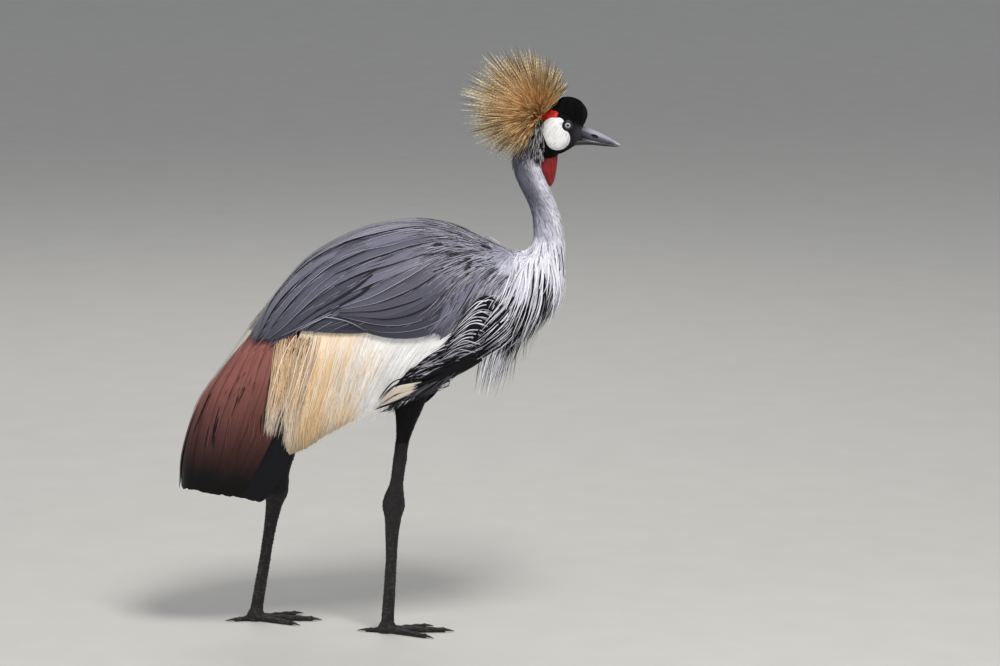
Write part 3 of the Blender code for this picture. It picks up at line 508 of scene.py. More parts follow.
# shaders
class Wire:
    # an output socket that Python's operators can work on
    def __init__(self, finish, socket):
        self.finish, self.socket = finish, socket

    def maths(self, operation, *values):
        return self.finish.add("ShaderNodeMath", {"operation": operation}, dict(enumerate(values)))

    def __add__(self, other):
        return self.maths("ADD", self, other)

    def __sub__(self, other):
        return self.maths("SUBTRACT", self, other)

    def __rsub__(self, other):
        return self.maths("SUBTRACT", other, self)

    def __mul__(self, other):
        return self.maths("MULTIPLY", self, other)

    def __truediv__(self, other):
        return self.maths("DIVIDE", self, other)

    def __abs__(self):
        return self.maths("ABSOLUTE", self)

    def hypot(self, other):
        return self.maths("SQRT", self * self + other * other)

    def band(self, low, high):
        # 0 below low, 1 above high, smooth between
        return self.finish.add("ShaderNodeMapRange", {"interpolation_type": "SMOOTHSTEP"},
                               {0: self, 1: low, 2: high})

    __radd__, __rmul__ = __add__, __mul__


class Finish:
    def __init__(self, name, **constants):
        self.material = bpy.data.materials.new(name)
        self.material.use_nodes = True
        self.tree = self.material.node_tree
        self.shader = self.tree.nodes["Principled BSDF"]
        for key, value in constants.items():
            self.shader.inputs[key.replace("_", " ")].default_value = value

    def add(self, kind, settings=None, sockets=None, out=0):
        node = self.tree.nodes.new(kind)
        for key, value in (settings or {}).items():
            setattr(node, key, value)
        for key, value in (sockets or {}).items():
            self.feed(node.inputs[key], value)
        return Wire(self, node.outputs[out])

    def feed(self, socket, value):
        if isinstance(value, Wire):
            self.tree.links.new(value.socket, socket)
        elif socket.type == "RGBA":
            socket.default_value = (*value, 1)
        else:
            socket.default_value = value

    def attribute(self, name, out=2):
        return self.add("ShaderNodeAttribute", {"attribute_name": name}, out=out)

    def split(self, vector):
        node = self.tree.nodes.new("ShaderNodeSeparateXYZ")
        self.feed(node.inputs[0], vector)
        return [Wire(self, socket) for socket in node.outputs]

    def join(self, x, y, z):
        return self.add("ShaderNodeCombineXYZ", None, {0: x, 1: y, 2: z})

    def place(self):
        # the bird's own millimetres, from Object coordinates
        where = self.add("ShaderNodeTexCoord", out=3)
        scaled = self.add("ShaderNodeVectorMath", {"operation": "SCALE"}, {0: where, "Scale": 1000})
        return self.add("ShaderNodeVectorMath", {"operation": "SUBTRACT"}, {0: scaled, 1: tuple(shift)})

    def noise(self, vector, scale, detail=3.0, roughness=0.5):
        return self.add("ShaderNodeTexNoise", None,
                        {"Vector": vector, "Scale": scale, "Detail": detail, "Roughness": roughness})

    def blend(self, one, two, share):
        return self.add("ShaderNodeMix", {"data_type": "RGBA"}, {0: share, 6: one, 7: two}, out=2)

    def scaled(self, colour, amount):
        return self.add("ShaderNodeVectorMath", {"operation": "SCALE"}, {0: colour, "Scale": amount})

    def finished(self, colour, roughness=None, bump=None, distance=0.0005, strength=1.0):
        self.feed(self.shader.inputs["Base Color"], colour)
        if roughness is not None:
            self.feed(self.shader.inputs["Roughness"], roughness)
        if bump is not None:
            lumps = self.add("ShaderNodeBump", None,
                             {"Strength": strength, "Distance": distance, "Height": bump})
            self.feed(self.shader.inputs["Normal"], lumps)
        return self.material


def plumage(name, barbs=0.0, barbCount=60, shaft=0.0, streaks=0.1, streakCount=5, roughness=0.6, sheen=0.0,
            shine=0.2, rim=0.0, gap=0.0, twistShading=0.0):
    # shaft, slanting barbs, loose streaks and edges on each feather's own map
    f = Finish(name, Sheen_Weight=sheen, Sheen_Roughness=0.4, Specular_IOR_Level=shine)
    across, along, _ = f.split(f.add("ShaderNodeUVMap", {"uv_map": "Vane"}))
    grain = f.attribute("grain")
    off = abs(across - 0.5) * 2
    slant = f.noise(f.join((along - off * 0.25) * barbCount, off * 1.5, grain * 90), 1.0, 2)
    hair = f.noise(f.join(across * streakCount, along * 1.3, grain * 70), 1.0, 4, 0.6)
    quill = 1 - off.band(0.04, 0.12)
    cloud = f.noise(f.place(), 0.03, 3)
    light = (1 + (slant - 0.5) * (barbs * 2)) * (1 + (hair - 0.5) * (streaks * 3)) * (0.85 + cloud * 0.3)
    light = light * (1 + quill * shaft)
    # the lower edge is rimmed, a fringe of the feather's own and, where lighter, partly a painted highlight;
    # the upper one gets painted shade, as if the next feather shaded it
    if rim:
        light = light * (1 + across.band(0.9, 0.98) * grain.band(0.3, 0.6) * rim)
    if gap:
        light = light * (1 - (1 - across.band(0.2, 0.62)) * gap)
    # painted light and shade in bands along each bristle, for the way a twisting bristle catches the light
    if twistShading:
        phase = along * 95 + across * 3 + grain * 40
        light = light * (1 - phase.maths("SINE", phase).band(-0.1, 0.5) * along.band(0.15, 0.6) * twistShading)
    colour = f.scaled(f.attribute("paint", 0), light)
    height = slant * 0.5 + hair * 0.6 + quill * 0.5
    return f.finished(colour, roughness + (hair - 0.5) * 0.2, height, 0.0004, 0.4)


mantleFinish = plumage("slate feathers", barbs=0.08, shaft=-0.12, roughness=0.46, sheen=0.2, shine=0.35,
                       rim=0.35, gap=0.5)
softFinish = plumage("soft grey feathers", barbs=0.05, barbCount=24, streaks=0.3, roughness=0.65, sheen=0.05)
goldFinish = plumage("white and golden plumes", barbs=0.05, shaft=0.05, streaks=0.16, streakCount=8,
                     sheen=0.2, shine=0.35)
flightFinish = plumage("chestnut and black quills", barbs=0.1, barbCount=120, shaft=-0.25, streaks=0.12,
                       streakCount=7, roughness=0.45, rim=-0.3, gap=0.35)
bristleFinish = plumage("straw bristles", shine=0.15, twistShading=0.5)
velvetFinish = plumage("black velvet tufts", streaks=0.2, roughness=0.85, shine=0.12)


# meshes from bmesh operators
def loft(work, rings):
    # circles carried to their rings and bridged, with both ends closed
    loops = []
    for ring in rings:
        made = bmesh.ops.create_circle(work, radius=1, segments=len(ring))["verts"]
        for vert, point in zip(made, ring):
            vert.co = Vector(point)
        loops.append(list({edge for vert in made for edge in vert.link_edges}))
    for one, two in zip(loops, loops[1:]):
        bmesh.ops.bridge_loops(work, edges=one + two)
    bmesh.ops.holes_fill(work, edges=loops[0] + loops[-1], sides=0)


def meshFrom(name, work):
    bmesh.ops.recalc_face_normals(work, faces=work.faces)
    for face in work.faces:
        face.smooth = True
    mesh = bpy.data.meshes.new(name)
    work.to_mesh(mesh)
    work.free()
    points = np.empty(len(mesh.vertices) * 3)
    mesh.vertices.foreach_get("co", points)
    mesh.vertices.foreach_set("co", placed(points.reshape(-1, 3)).ravel())
    mesh.update()
    made = bpy.data.objects.new(name, mesh)
    bpy.context.scene.collection.objects.link(made)
    return made


def applied(obj):
    graph = bpy.context.evaluated_depsgraph_get()
    fresh = bpy.data.meshes.new_from_object(obj.evaluated_get(graph), depsgraph=graph)
    obj.modifiers.clear()
    old, obj.data = obj.data, fresh
    bpy.data.meshes.remove(old)
    return obj


def remeshed(obj, voxel, smooth):
    grid = obj.modifiers.new("voxels", "REMESH")
    grid.mode, grid.voxel_size, grid.use_smooth_shade = "VOXEL", voxel * 0.001, True
    soft = obj.modifiers.new("soft", "SMOOTH")
    soft.iterations, soft.factor = smooth, 0.5
    return applied(obj)


def ringsOf(form, stations, turns, inset=0.0):
    # a form's cross sections, drawn in by the depth of the coat
    rings = []
    for t in stations:
        t = np.full(len(turns), float(t))
        rings.append(form.at(t, turns) - form.normal(t, turns) * inset)
    return rings


def circle(sides):
    return np.arange(sides) * 360 / sides


def addBall(work, form, inset=0.0):
    loft(work, ringsOf(form, np.linspace(4, 176, 20), circle(24), inset))


def meshPoints(obj):
    # a mesh's points in the bird's millimetres
    points = np.empty(len(obj.data.vertices) * 3)
    obj.data.vertices.foreach_get("co", points)
    return points.reshape(-1, 3) * 1000 - shift


def paintMesh(obj, colours):
    full = np.concatenate([colours, np.ones((len(colours), 1))], 1)
    obj.data.attributes.new("paint", "FLOAT_COLOR", "POINT").data.foreach_set("color", full.ravel())


def ribbons(coat, centre, face, width, tone, root, outline="lance", crown=0.3, tip=None, tipFrom=0.4):
    # narrow blades along lines in space
    half = np.broadcast_to(width, len(centre))[:, None] / 2
    half = half * np.interp(np.linspace(0, 1, centre.shape[1]), *outlines[outline])
    ahead = unit(np.gradient(centre, axis=1))
    across = unit(np.cross(np.broadcast_to(face, centre.shape), ahead))
    up = np.cross(ahead, across)
    x = np.linspace(-1, 1, 3)
    points = centre[:, :, None] + across[:, :, None] * (half[..., None] * x)[..., None]
    points = points + up[:, :, None] * (half[..., None] * crown * (1 - x ** 2))[..., None]
    paintFeathers(coat, points, tone, root, tip, tipFrom)


# skin under the coat
skinLook = {
    "depth": 3.0, "voxel": 2.3, "smooth": 3, "black": tint(5, 5, 7), "lore": tint(54, 54, 62),
    "red": tint(220, 58, 44), "fold": tint(184, 30, 24), "white": tint(250, 250, 250),
    "hair": tint(150, 150, 156), "core": tint(255, 212, 154), "breast": tint(138, 138, 154),
    "under": tint(20, 20, 25),
}
# the velvet cap, then balls under the forehead, throat, crown and crest, each a centre and radii
capShape = ((280.5, 0, 852), (29, 16.5, 23), math.radians(28))
fillers = (((291, 0, 838), (13, 11.5, 12)), ((244, 0, 789), (17, 16, 15)), ((262, 0, 850), (26, 17, 14)),
           ((197, 0, 861), (40, 35, 40)))


def skinFinish():
    f = Finish("downy skin and bare face", Specular_IOR_Level=0.2)
    look, where = skinLook, f.place()
    x, y, z = f.split(where)

    def inside(rounds):
        shares = [1 - ((x - cx) / rx).hypot((z - cz) / rz) for cx, cz, rx, rz in rounds]
        most = shares[0]
        for share in shares[1:]:
            most = most.maths("MAXIMUM", most, share)
        return most

    outward = abs(y).band(9, 12)
    eye = (x - eyeCentre[0]).hypot(z - eyeCentre[2])
    ragged = f.noise(where, 0.9, 2) * 0.06 - 0.03
    cheek = (inside(cheekRounds) + ragged).band(-0.01, 0.03) * eye.band(9.0, 9.8) * outward
    red = (inside(redRounds) + ragged * 2).band(0.0, 0.1) * outward * (1 - cheek)
    pores = f.noise(where, 1.1, 4, 0.6)
    folds = f.noise(where, 0.25, 3)
    hairs = f.noise(f.join(x * 0.75 - z * 0.5, y * 0.3, (x * 0.5 + z * 0.75) * 0.07), 1.0, 3)
    lore = x.band(272, 294) * (1 - z.band(822, 834)) * z.band(790, 800)
    colour = f.blend(f.attribute("paint", 0), look["black"], (z + x.band(226, 236) * 14).band(786, 794))
    colour = f.blend(colour, look["lore"], lore)
    # painted light: the skin under the crest is bright gold, so the crest's shaded inside reads as lit
    colour = f.blend(colour, look["core"], (1 - x.band(229, 236)) * z.band(812, 822))
    colour = f.blend(colour, f.blend(look["red"], look["fold"], folds.band(0.4, 0.6)), red)
    white = f.blend(look["white"], look["hair"], hairs.band(0.54, 0.68) * 0.75)
    colour = f.blend(colour, white, cheek)
    bare = cheek + red
    return f.finished(f.scaled(colour, 0.9 + pores * 0.16), 0.8 - bare * 0.3,
                      pores * 0.4 + folds * 0.6 + hairs * 0.3, 0.0005, 0.5)


def bodyTone(points):
    px, py = pictured(points).T
    return mixed(skinLook["breast"], skinLook["under"], ease(py - paleLine(px), -6, 8))


def makeSkin():
    work = bmesh.new()
    loft(work, ringsOf(bodyForm(1), np.linspace(0.0, 13.9, 80), circle(40), skinLook["depth"]))
    for side in (-1, 1):
        loft(work, ringsOf(legForm(side), np.linspace(0, shankRow + 0.4, 14), circle(20), 1.5))
        addBall(work, ballForm((256, side * 19.5, 819), (22, 7, 27)))
    loft(work, ringsOf(headForm(), np.linspace(-0.4, 6.0, 30), circle(36), 0.8))
    addBall(work, ballForm(*capShape), 1.2)
    for centre, radii in fillers:
        addBall(work, ballForm(centre, radii))
    skin = remeshed(meshFrom("skin", work), skinLook["voxel"], skinLook["smooth"])
    # the socket that each eye sits in
    points = meshPoints(skin)
    off = np.hypot(points[:, 0] - eyeCentre[0], points[:, 2] - eyeCentre[2])
    limit = np.where(off < 10.5, 18.4 + 6.5 * ease(off, 6.5, 10.5), 1000)
    points[:, 1] = np.clip(points[:, 1], -limit, limit)
    skin.data.vertices.foreach_set("co", placed(points).ravel())
    paintMesh(skin, bodyTone(points))
    skin.data.shade_smooth()
    settle(skin, skinFinish(),
           ("head", "neck_upper", "neck_lower", "torso", "leg_left_thigh", "leg_right_thigh"))
    print("skin", len(skin.data.polygons), "faces")
    return skin


skin = makeSkin()

# the folded wings' own down, close under the mantle and coverts
underLook = {"depth": 9.0, "start": 0.3, "end": 6.4, "low": 0.84, "tone": tint(24, 24, 31)}


def makeUnderwing():
    work = bmesh.new()
    for side in (-1, 1):
        form, rings = wingForm(side), []
        for s in np.linspace(underLook["start"], underLook["end"], 30):
            v, at = np.linspace(0.02, underLook["low"], 20), np.full(20, s)
            place, face = form.at(at, v), form.normal(at, v)
            depth = underLook["depth"] + 3 * ease(s, 3.8, 5)
            rings.append(np.concatenate([place - face * depth, (place - face * (depth + 12))[::-1]]))
        loft(work, rings)
    under = meshFrom("wingDown", work)
    paintMesh(under, np.broadcast_to(underLook["tone"], (len(under.data.vertices), 3)))
    settle(under, bpy.data.materials["downy skin and bare face"])
    print("wing down", len(under.data.polygons), "faces")


makeUnderwing()


# long feathers laid along lines that are read off the picture
def located(form, places):
    # the form's two numbers where it shows at places of the picture
    if form.shown is None:
        (lowA, highA), (lowB, highB) = form.span
        a, b = np.meshgrid(np.linspace(lowA, highA, 420), np.linspace(lowB, highB, 240), indexing="ij")
        form.shown = a.ravel(), b.ravel(), pictured(form.at(a.ravel(), b.ravel()))
    a, b, shown = form.shown
    near = np.array([((shown - place) ** 2).sum(1).argmin() for place in places.reshape(-1, 2)])
    return a[near].reshape(places.shape[:-1]), b[near].reshape(places.shape[:-1])


def layLong(coat, form, first, last, count, width, depth, tone, tip=None, outline="quill", columns=7,
            stations=18, tilt=0.08, jitter=1.0, tipFrom=0.4, vary=0.06, crown=0.03, gaps=0.0, rims=0.0,
            uneven=0.2, trim=0.0):
    # feathers between a first and a last line of the picture; depth is at root, shoulder and tip
    share = np.linspace(0, 1, count)
    share = (share + rng.uniform(-uneven, uneven, count) / count)[:, None, None]
    lines = between(np.array(first, float), np.array(last, float), share)
    lines = lines + rng.normal(0, jitter, (count, 1, 2)) + rng.normal(0, jitter * 0.5, lines.shape)
    a, b = located(form, lines)
    shares = 1 - (1 - np.linspace(0, 1, stations)) ** 1.4
    starts, ends = rng.uniform(0, trim, count), 1 - rng.uniform(0, trim, count)
    t = between(starts[:, None], ends[:, None], shares) * (len(first) - 1)
    pathA, pathB = (np.array([curveAt(row[:, None], along)[:, 0] for row, along in zip(rows, t)])
                    for rows in (a, b))
    half = (width * rng.uniform(1 - vary, 1 + vary, count))[:, None] / 2
    half = half * np.interp(shares, *outlines[outline])
    height = np.interp(shares, [0, 0.2, 1], depth) + rng.normal(0, 0.1, (count, 1))
    points = form.spread(pathA, pathB, half, height, columns, crown, tilt)
    tone, tip = np.atleast_2d(tone), np.atleast_2d(tone if tip is None else tip)
    tones, tips = (varied(between(pair[0], pair[-1], share[:, 0]), vary, count) for pair in (tone, tip))
    root = unwrapped(form, a[:, 0], b[:, 0])
    paintFeathers(coat, points, tones, root, tips, tipFrom)
    # along some of the lower edges, dark gaps of painted shadow and pale rims that are partly fringe and
    # partly painted highlight
    face = form.normal(pathA, pathB)
    edge = points[:, :, -1] if form.sign < 0 else points[:, :, 0]
    out = unit(edge - points[:, :, columns // 2])
    for chance, colour, wide, beyond, up in ((gaps, mantleLook["gap"], 2.3, 0.8, -0.1),
                                             (rims, mantleLook["pale"] * 1.2, 1.1, -0.5, 0.5)):
        for i in np.flatnonzero(rng.uniform(0, 1, count) < chance):
            start, end = int(stations * rng.uniform(0.05, 0.45)), int(stations * rng.uniform(0.6, 1))
            line = (edge + out * beyond + face * up)[i:i + 1, start:end]
            ribbons(coat, line, face[i:i + 1, start:end], wide * rng.uniform(0.6, 1.2),
                    varied(colour, 0.2, 1), root[i:i + 1], "hair")


def reachTo(form, a, b, most, degrees, low, spare=0.0):
    # where roots show in the picture, and how long their feathers get above a line of it
    px, py = pictured(form.at(a, b)).T
    spare = spare(px) if callable(spare) else spare
    best, turn = 0 * px, np.radians(degrees(px, py))
    for share in np.linspace(0.1, 1, 19):
        run = most * share / pixelSize
        fits = py + run * np.sin(turn) < np.interp(px - run * np.cos(turn), *low) + spare
        best = np.where(fits, most * share, best)
    return px, py, best


# slate mantle feathers, fine and pale at the shoulder, long and smooth behind
mantleLook = {
    # gap is painted shadow, the colour of the dark slits where feathers part
    "slate": tint(96, 95, 111), "deep": tint(69, 69, 84), "dark": tint(42, 42, 52), "gap": tint(15, 15, 21),
    "pale": tint(154, 154, 172), "streak": tint(196, 196, 212),
    "lower": (
        (232, 240, 243, 248, 257, 267, 277, 287, 297, 303, 345, 358, 375, 400, 415, 428, 440, 450, 465),
        (290, 322, 340, 348, 344, 344, 341, 338, 332, 334, 335, 331, 333, 336, 333, 331, 337, 338, 320)),
    "front": ((235, 257, 280, 297, 318, 337), (530, 524, 505, 479, 461, 447)),
}


def bySpan(*values):
    # from the shoulder to the rump
    return lambda s: np.interp(s, [0.2, 1, 2, 4], values)


def mantleRows(form, name):
    # rows from the shoulder to the rump
    look, coat = mantleLook, Coat("mantleCoat_" + name, form.sign)
    a, b = rowsOver(form, 0.02, 4.7, 0.01, 0.86, bySpan(7, 10, 14, 16), bySpan(5, 7.5, 11, 12))
    px, py, length = reachTo(form, a, b, bySpan(44, 62, 90, 110)(a), mantleLie, look["lower"],
                             lambda px: np.interp(px, [250, 300, 380, 450], [-16, -9, -7, 1]))
    keep = (length > 10) & (px < np.interp(py, *look["front"]))
    a, b, length, px = kept(keep, a, b, length, px)
    base = mixed(look["slate"], look["pale"], ease(px, 420, 498))
    grow(coat, form, a, b, length, bySpan(7, 12, 19, 22)(a), lie(mantleLie), varied(base, 0.07),
         columns=5, outline="leaf", lift=(-5.5, -1.9), crown=0.05, tilt=0.12, scatter=3, curl=4,
         tip=varied(base * 0.9, 0.08), tipFrom=0.5)
    coat.finish(mantleFinish, "mantle_feathers", (f"wing_{name}_mantle",))


def scapulars(form, name):
    look, coat = mantleLook, Coat("scapularCoat_" + name, form.sign)
    slate, deep, dark = look["slate"], look["deep"], look["dark"]
    gap, pale, streak = look["gap"], look["pale"], look["streak"]
    # along the back, over the tertials, and the dark group over the white, its lower feathers darker as
    # painted shade where the wing turns under
    layLong(coat, form, ((440, 222), (385, 226), (333, 243), (290, 274)),
            ((446, 252), (402, 268), (368, 282), (330, 303)), 7, 27, (-5, -1.0, -0.3),
            (slate * 1.06, slate), (slate * 0.9, slate * 0.85), "leaf", tilt=0.1, gaps=0.5, rims=0.5,
            jitter=2.2, uneven=0.5, vary=0.16)
    layLong(coat, form, ((352, 236), (303, 261), (267, 303), (250, 343)),
            ((366, 282), (347, 297), (312, 318), (274, 341)), 8, 27, (-4, -0.6, 0.2), (slate, deep),
            (deep, dark * 1.1), tilt=0.1, gaps=0.6, rims=0.5, jitter=1.4, uneven=0.5, vary=0.16)
    # two dark strands of painted shadow where the tertials and the scapulars part
    layLong(coat, form, ((372, 274), (352, 290), (322, 308), (286, 335)),
            ((376, 280), (358, 294), (328, 310), (300, 327)), 2, 5, (0, 0.9, 0.9), gap, outline="lance",
            columns=3, jitter=0.5)
    # a low dark band over the white, slate deepened as painted shade
    layLong(coat, form, ((398, 316), (370, 318), (335, 319), (300, 326)),
            ((394, 326), (364, 329), (334, 330), (299, 332)), 4, 13, (-5, -1.6, -1.0),
            (deep * 0.8, deep * 0.75), outline="leaf")
    layLong(coat, form, ((448, 250), (414, 268), (376, 288), (336, 308)),
            ((466, 292), (438, 320), (402, 332), (338, 320)), 8, 25, (-4, -0.2, 0.6), (slate, deep * 0.9),
            (slate, dark * 0.9), "leaf", tilt=0.1, gaps=0.45, rims=0.85, jitter=1.5, uneven=0.5,
            vary=0.14)
    # two thin pale shafts at the mantle's lower edge
    for line in (((330, 314), (318, 320), (307, 326), (296, 332)),
                 ((322, 317), (337, 318), (352, 323), (368, 330))):
        layLong(coat, form, line, line, 1, 1.3, (0, 1.6, 1.2), streak, None, "hair", columns=3,
                jitter=0.2)
    # short dark wedges of painted shadow and pale rims, partly fringe and partly painted highlight, of the
    # shoulder's small feathers
    for tone, width in ((gap, 2.2), (streak, 1.2)):
        spots = np.stack([rng.uniform(436, 492, 22), rng.uniform(232, 268, 22)], -1)
        a, b = located(form, spots)
        grow(coat, form, a, b, rng.uniform(12, 30, 22), width, lie(mantleLie), varied(tone, 0.2, 22),
             stations=6, outline="hair", lift=(1.0, 1.8), scatter=5, curl=6)
    # slender points that hang over the white in front
    layLong(coat, form, ((450, 296), (444, 312), (436, 324), (424, 337)),
            ((484, 262), (473, 286), (461, 308), (444, 337)), 13, 8, (-3, 0.4, 1.2),
            (slate * 1.1, slate * 1.35), (slate, slate * 1.2), "lance", columns=5, gaps=0.3, rims=0.5,
            jitter=1.6, uneven=0.6, vary=0.15)
    # thin pale edges along the flow, partly fringe and partly painted highlight, and dark slits of painted
    # shadow beside them
    for tone, count, width, reach, rise in ((pale * 1.2, 200, 0.9, (50, 110), 0.9),
                                            (gap, 90, 1.7, (34, 80), 0.7)):
        a, b = rng.uniform(0.3, 4.2, count), rng.uniform(0.02, 0.7, count)
        px, py, length = reachTo(form, a, b, rng.uniform(*reach, count), mantleLie, look["lower"], -3)
        keep = (length > 34) & (px < np.interp(py, *look["front"]))
        grow(coat, form, *kept(keep, a, b, length), width, lie(mantleLie), varied(tone, 0.2, keep.sum()),
             stations=9, outline="hair", lift=(-0.6, rise), scatter=2, curl=6)
    # fine streaks of the shoulder
    n = 1700
    a, b = rng.uniform(-0.2, 1.3, n), rng.uniform(0.02, 0.86, n)
    px, py, length = reachTo(form, a, b, rng.uniform(26, 52, n), mantleLie, look["lower"], -1)
    keep = (length > 14) & (px < np.interp(py, *look["front"]) + 5)
    keep &= rng.uniform(0, 1, n) < ease(px, 415, 475)
    a, b, px, length = kept(keep, a, b, px, length)
    tone = np.where(rng.uniform(0, 1, (len(a), 1)) < 0.72, streak, deep * 0.7)
    tone = mixed(slate, tone, 0.3 + 0.5 * ease(px, 430, 500))
    grow(coat, form, a, b, length, rng.uniform(1.0, 2.0, len(a)), lie(mantleLie), varied(tone, 0.12),
         stations=6, lift=(-1.6, 1.1), curl=8)
    coat.finish(mantleFinish, "mantle_feathers")


# white coverts, golden plumes and the straw fringe over the chestnut
covertLook = {
    "white": tint(255, 254, 254), "cream": tint(255, 241, 222), "gold": tint(255, 202, 104),
    "straw": tint(212, 180, 144), "brown": tint(56, 38, 26),
    "low": ((262, 268, 279, 284, 289, 303, 321, 349, 374, 390, 403, 417, 428, 438, 450),
            (437, 438, 432, 441, 457, 452, 440, 424, 411, 404, 399, 392, 380, 362, 341)),
    "gold over": ((290, 296, 303, 310, 333, 338, 344, 349, 356, 362, 368, 374),
                  (0.1, 0.3, 0.5, 0.9, 0.8, 0.35, 0.3, 0.75, 0.95, 0.7, 0.25, 0)),
}


def covertLie(px, py):
    return np.interp(px, [270, 300, 340, 400, 447], [85, 78, 74, 60, 45])


def covertTone(px, py, down=0.0):
    # bands of gold and cream from the top of the panel to its lower edge, and painted shade low on its rear
    # part
    look = covertLook
    column = px + (py - 390) / np.tan(np.radians(covertLie(px, py)))
    py = py + down
    gold = np.interp(column, *look["gold over"]) * (0.25 + 0.75 * ease(py, 345, 390))
    gold = gold * np.where(column > 343, ease(py, 355, 395), 1) * (1 - 0.6 * ease(py, 405, 442))
    tone = mixed(look["white"], look["cream"], 1 - ease(column, 325, 362))
    tone = mixed(tone, look["gold"], gold)
    # painted shade: darker towards the lower edge, less so at the front
    return tone * (1 - 0.4 * ease(py, 385, 438) * (1 - ease(column, 345, 370)))[:, None]


def greyBorder(s):
    # how far round the wing the slate ends and the white begins
    return 0.757 - 0.147 * (s - 1)


def panel(form, a, b, most, above=9, least=8):
    # roots and lengths of the feathers that start in the pale panel, ahead of its rear edge
    px, py, reach = reachTo(form, a, b, most, covertLie, covertLook["low"])
    keep = (reach > least) & (py > np.interp(px, *mantleLook["lower"]) - above)
    return kept(keep & (px > 299 - (py - 340) * 0.12), a, b, px, py, reach)


def covertRows(form, name):
    coat = Coat("covertCoat_" + name, form.sign)
    a, b = rowsOver(form, 0.6, 3.9, lambda s: greyBorder(s) - 0.3, 0.99, 7, 5.5)
    a, b, px, py, reach = panel(form, a, b, 46)
    grow(coat, form, a, b, reach, 9, lie(covertLie), varied(covertTone(px, py), 0.03), stations=6,
         columns=5, outline="leaf", lift=(-7, -2.8), crown=0.06, tilt=0.08)
    # soft hair-fine plumes
    a, b = rowsOver(form, 0.7, 4.3, lambda s: greyBorder(s) - 0.3, 0.98, 3.3, 12)
    a, b, px, py, reach = panel(form, a, b, rng.uniform(80, 175, len(a)))
    grow(coat, form, a, b, reach, np.interp(a, [1, 2, 3], [4.5, 3.2, 2.4]), lie(covertLie),
         varied(covertTone(px, py), 0.07), stations=9, lift=(-5, -1.0), crown=0.25, scatter=2.2, curl=4,
         tip=varied(covertTone(px, py, reach / 1.7), 0.07), tipFrom=0.1)
    coat.finish(goldFinish, "gold_feathers", (f"wing_{name}_coverts",))


def plumes(form, name):
    look, coat = covertLook, Coat("plumeCoat_" + name, form.sign)
    # straw that crosses over brown at the rear
    rear = ((278, 340), (275, 370), (270, 402), (266, 434))
    layLong(coat, form, rear, ((308, 338), (300, 370), (293, 402), (286, 436)), 16, 8, (-4, -1.2, -0.8),
            look["brown"], look["brown"] * 0.5, columns=3, vary=0.25)
    for first, last, count in ((rear, ((312, 338), (298, 372), (286, 406), (277, 436)), 46),
                               (rear, ((284, 338), (280, 370), (275, 402), (270, 434)), 22),
                               (((277, 346), (279, 372), (281, 400), (284, 432)),
                                ((296, 342), (294, 372), (291, 404), (287, 440)), 26),
                               (((296, 337), (293, 372), (289, 410), (286, 446)),
                                ((318, 337), (308, 372), (298, 410), (291, 450)), 42)):
        layLong(coat, form, first, last, count, 1.05, (-3, 0.2, 0.6), look["straw"], look["cream"] * 0.9,
                "hair", columns=3, jitter=2.2, vary=0.25, crown=0.4, uneven=0.8)
    # long pale shafts across the plumes
    layLong(coat, form, ((301, 337), (291, 362), (281, 392), (274, 416)),
            ((352, 339), (345, 366), (337, 398), (326, 428)), 9, 1.4, (-4, 0.6, 0.9),
            (look["cream"], look["white"]), look["cream"], "hair", columns=3, jitter=1.8, crown=0.4,
            uneven=0.8)
    # golden hairs over the whole panel
    n = 1300
    a, b = rng.uniform(1.2, 4.2, n), rng.uniform(-0.1, 0.2, n)
    a, b, px, py, reach = panel(form, a, greyBorder(a) + b, rng.uniform(70, 170, n), 5, 30)
    tone = mixed(covertTone(px, py, 20), look["white"], rng.uniform(0, 0.32, len(a)))
    grow(coat, form, a, b, reach, 1.1, lie(covertLie), varied(tone, 0.12), stations=9, outline="hair",
         lift=(-5.0, 0.4), crown=0.4, scatter=3.5, curl=6)
    coat.finish(goldFinish, "gold_feathers")


for make in (mantleRows, scapulars), (covertRows, plumes):
    for side, name in bothSides:
        wing = wingForm(side)
        for part in make:
            part(wing, name)

# chestnut secondaries over black primaries
flightLook = {
    "chestnut": tint(158, 98, 90), "end": tint(4, 2, 3), "black": tint(14, 16, 23),
    "sliver": tint(22, 10, 11), "tail": 12, "tailWidth": 19,
}


def flightLie(px, py):
    return np.interp(py, [320, 370, 420, 480], [56, 68, 78, 88])


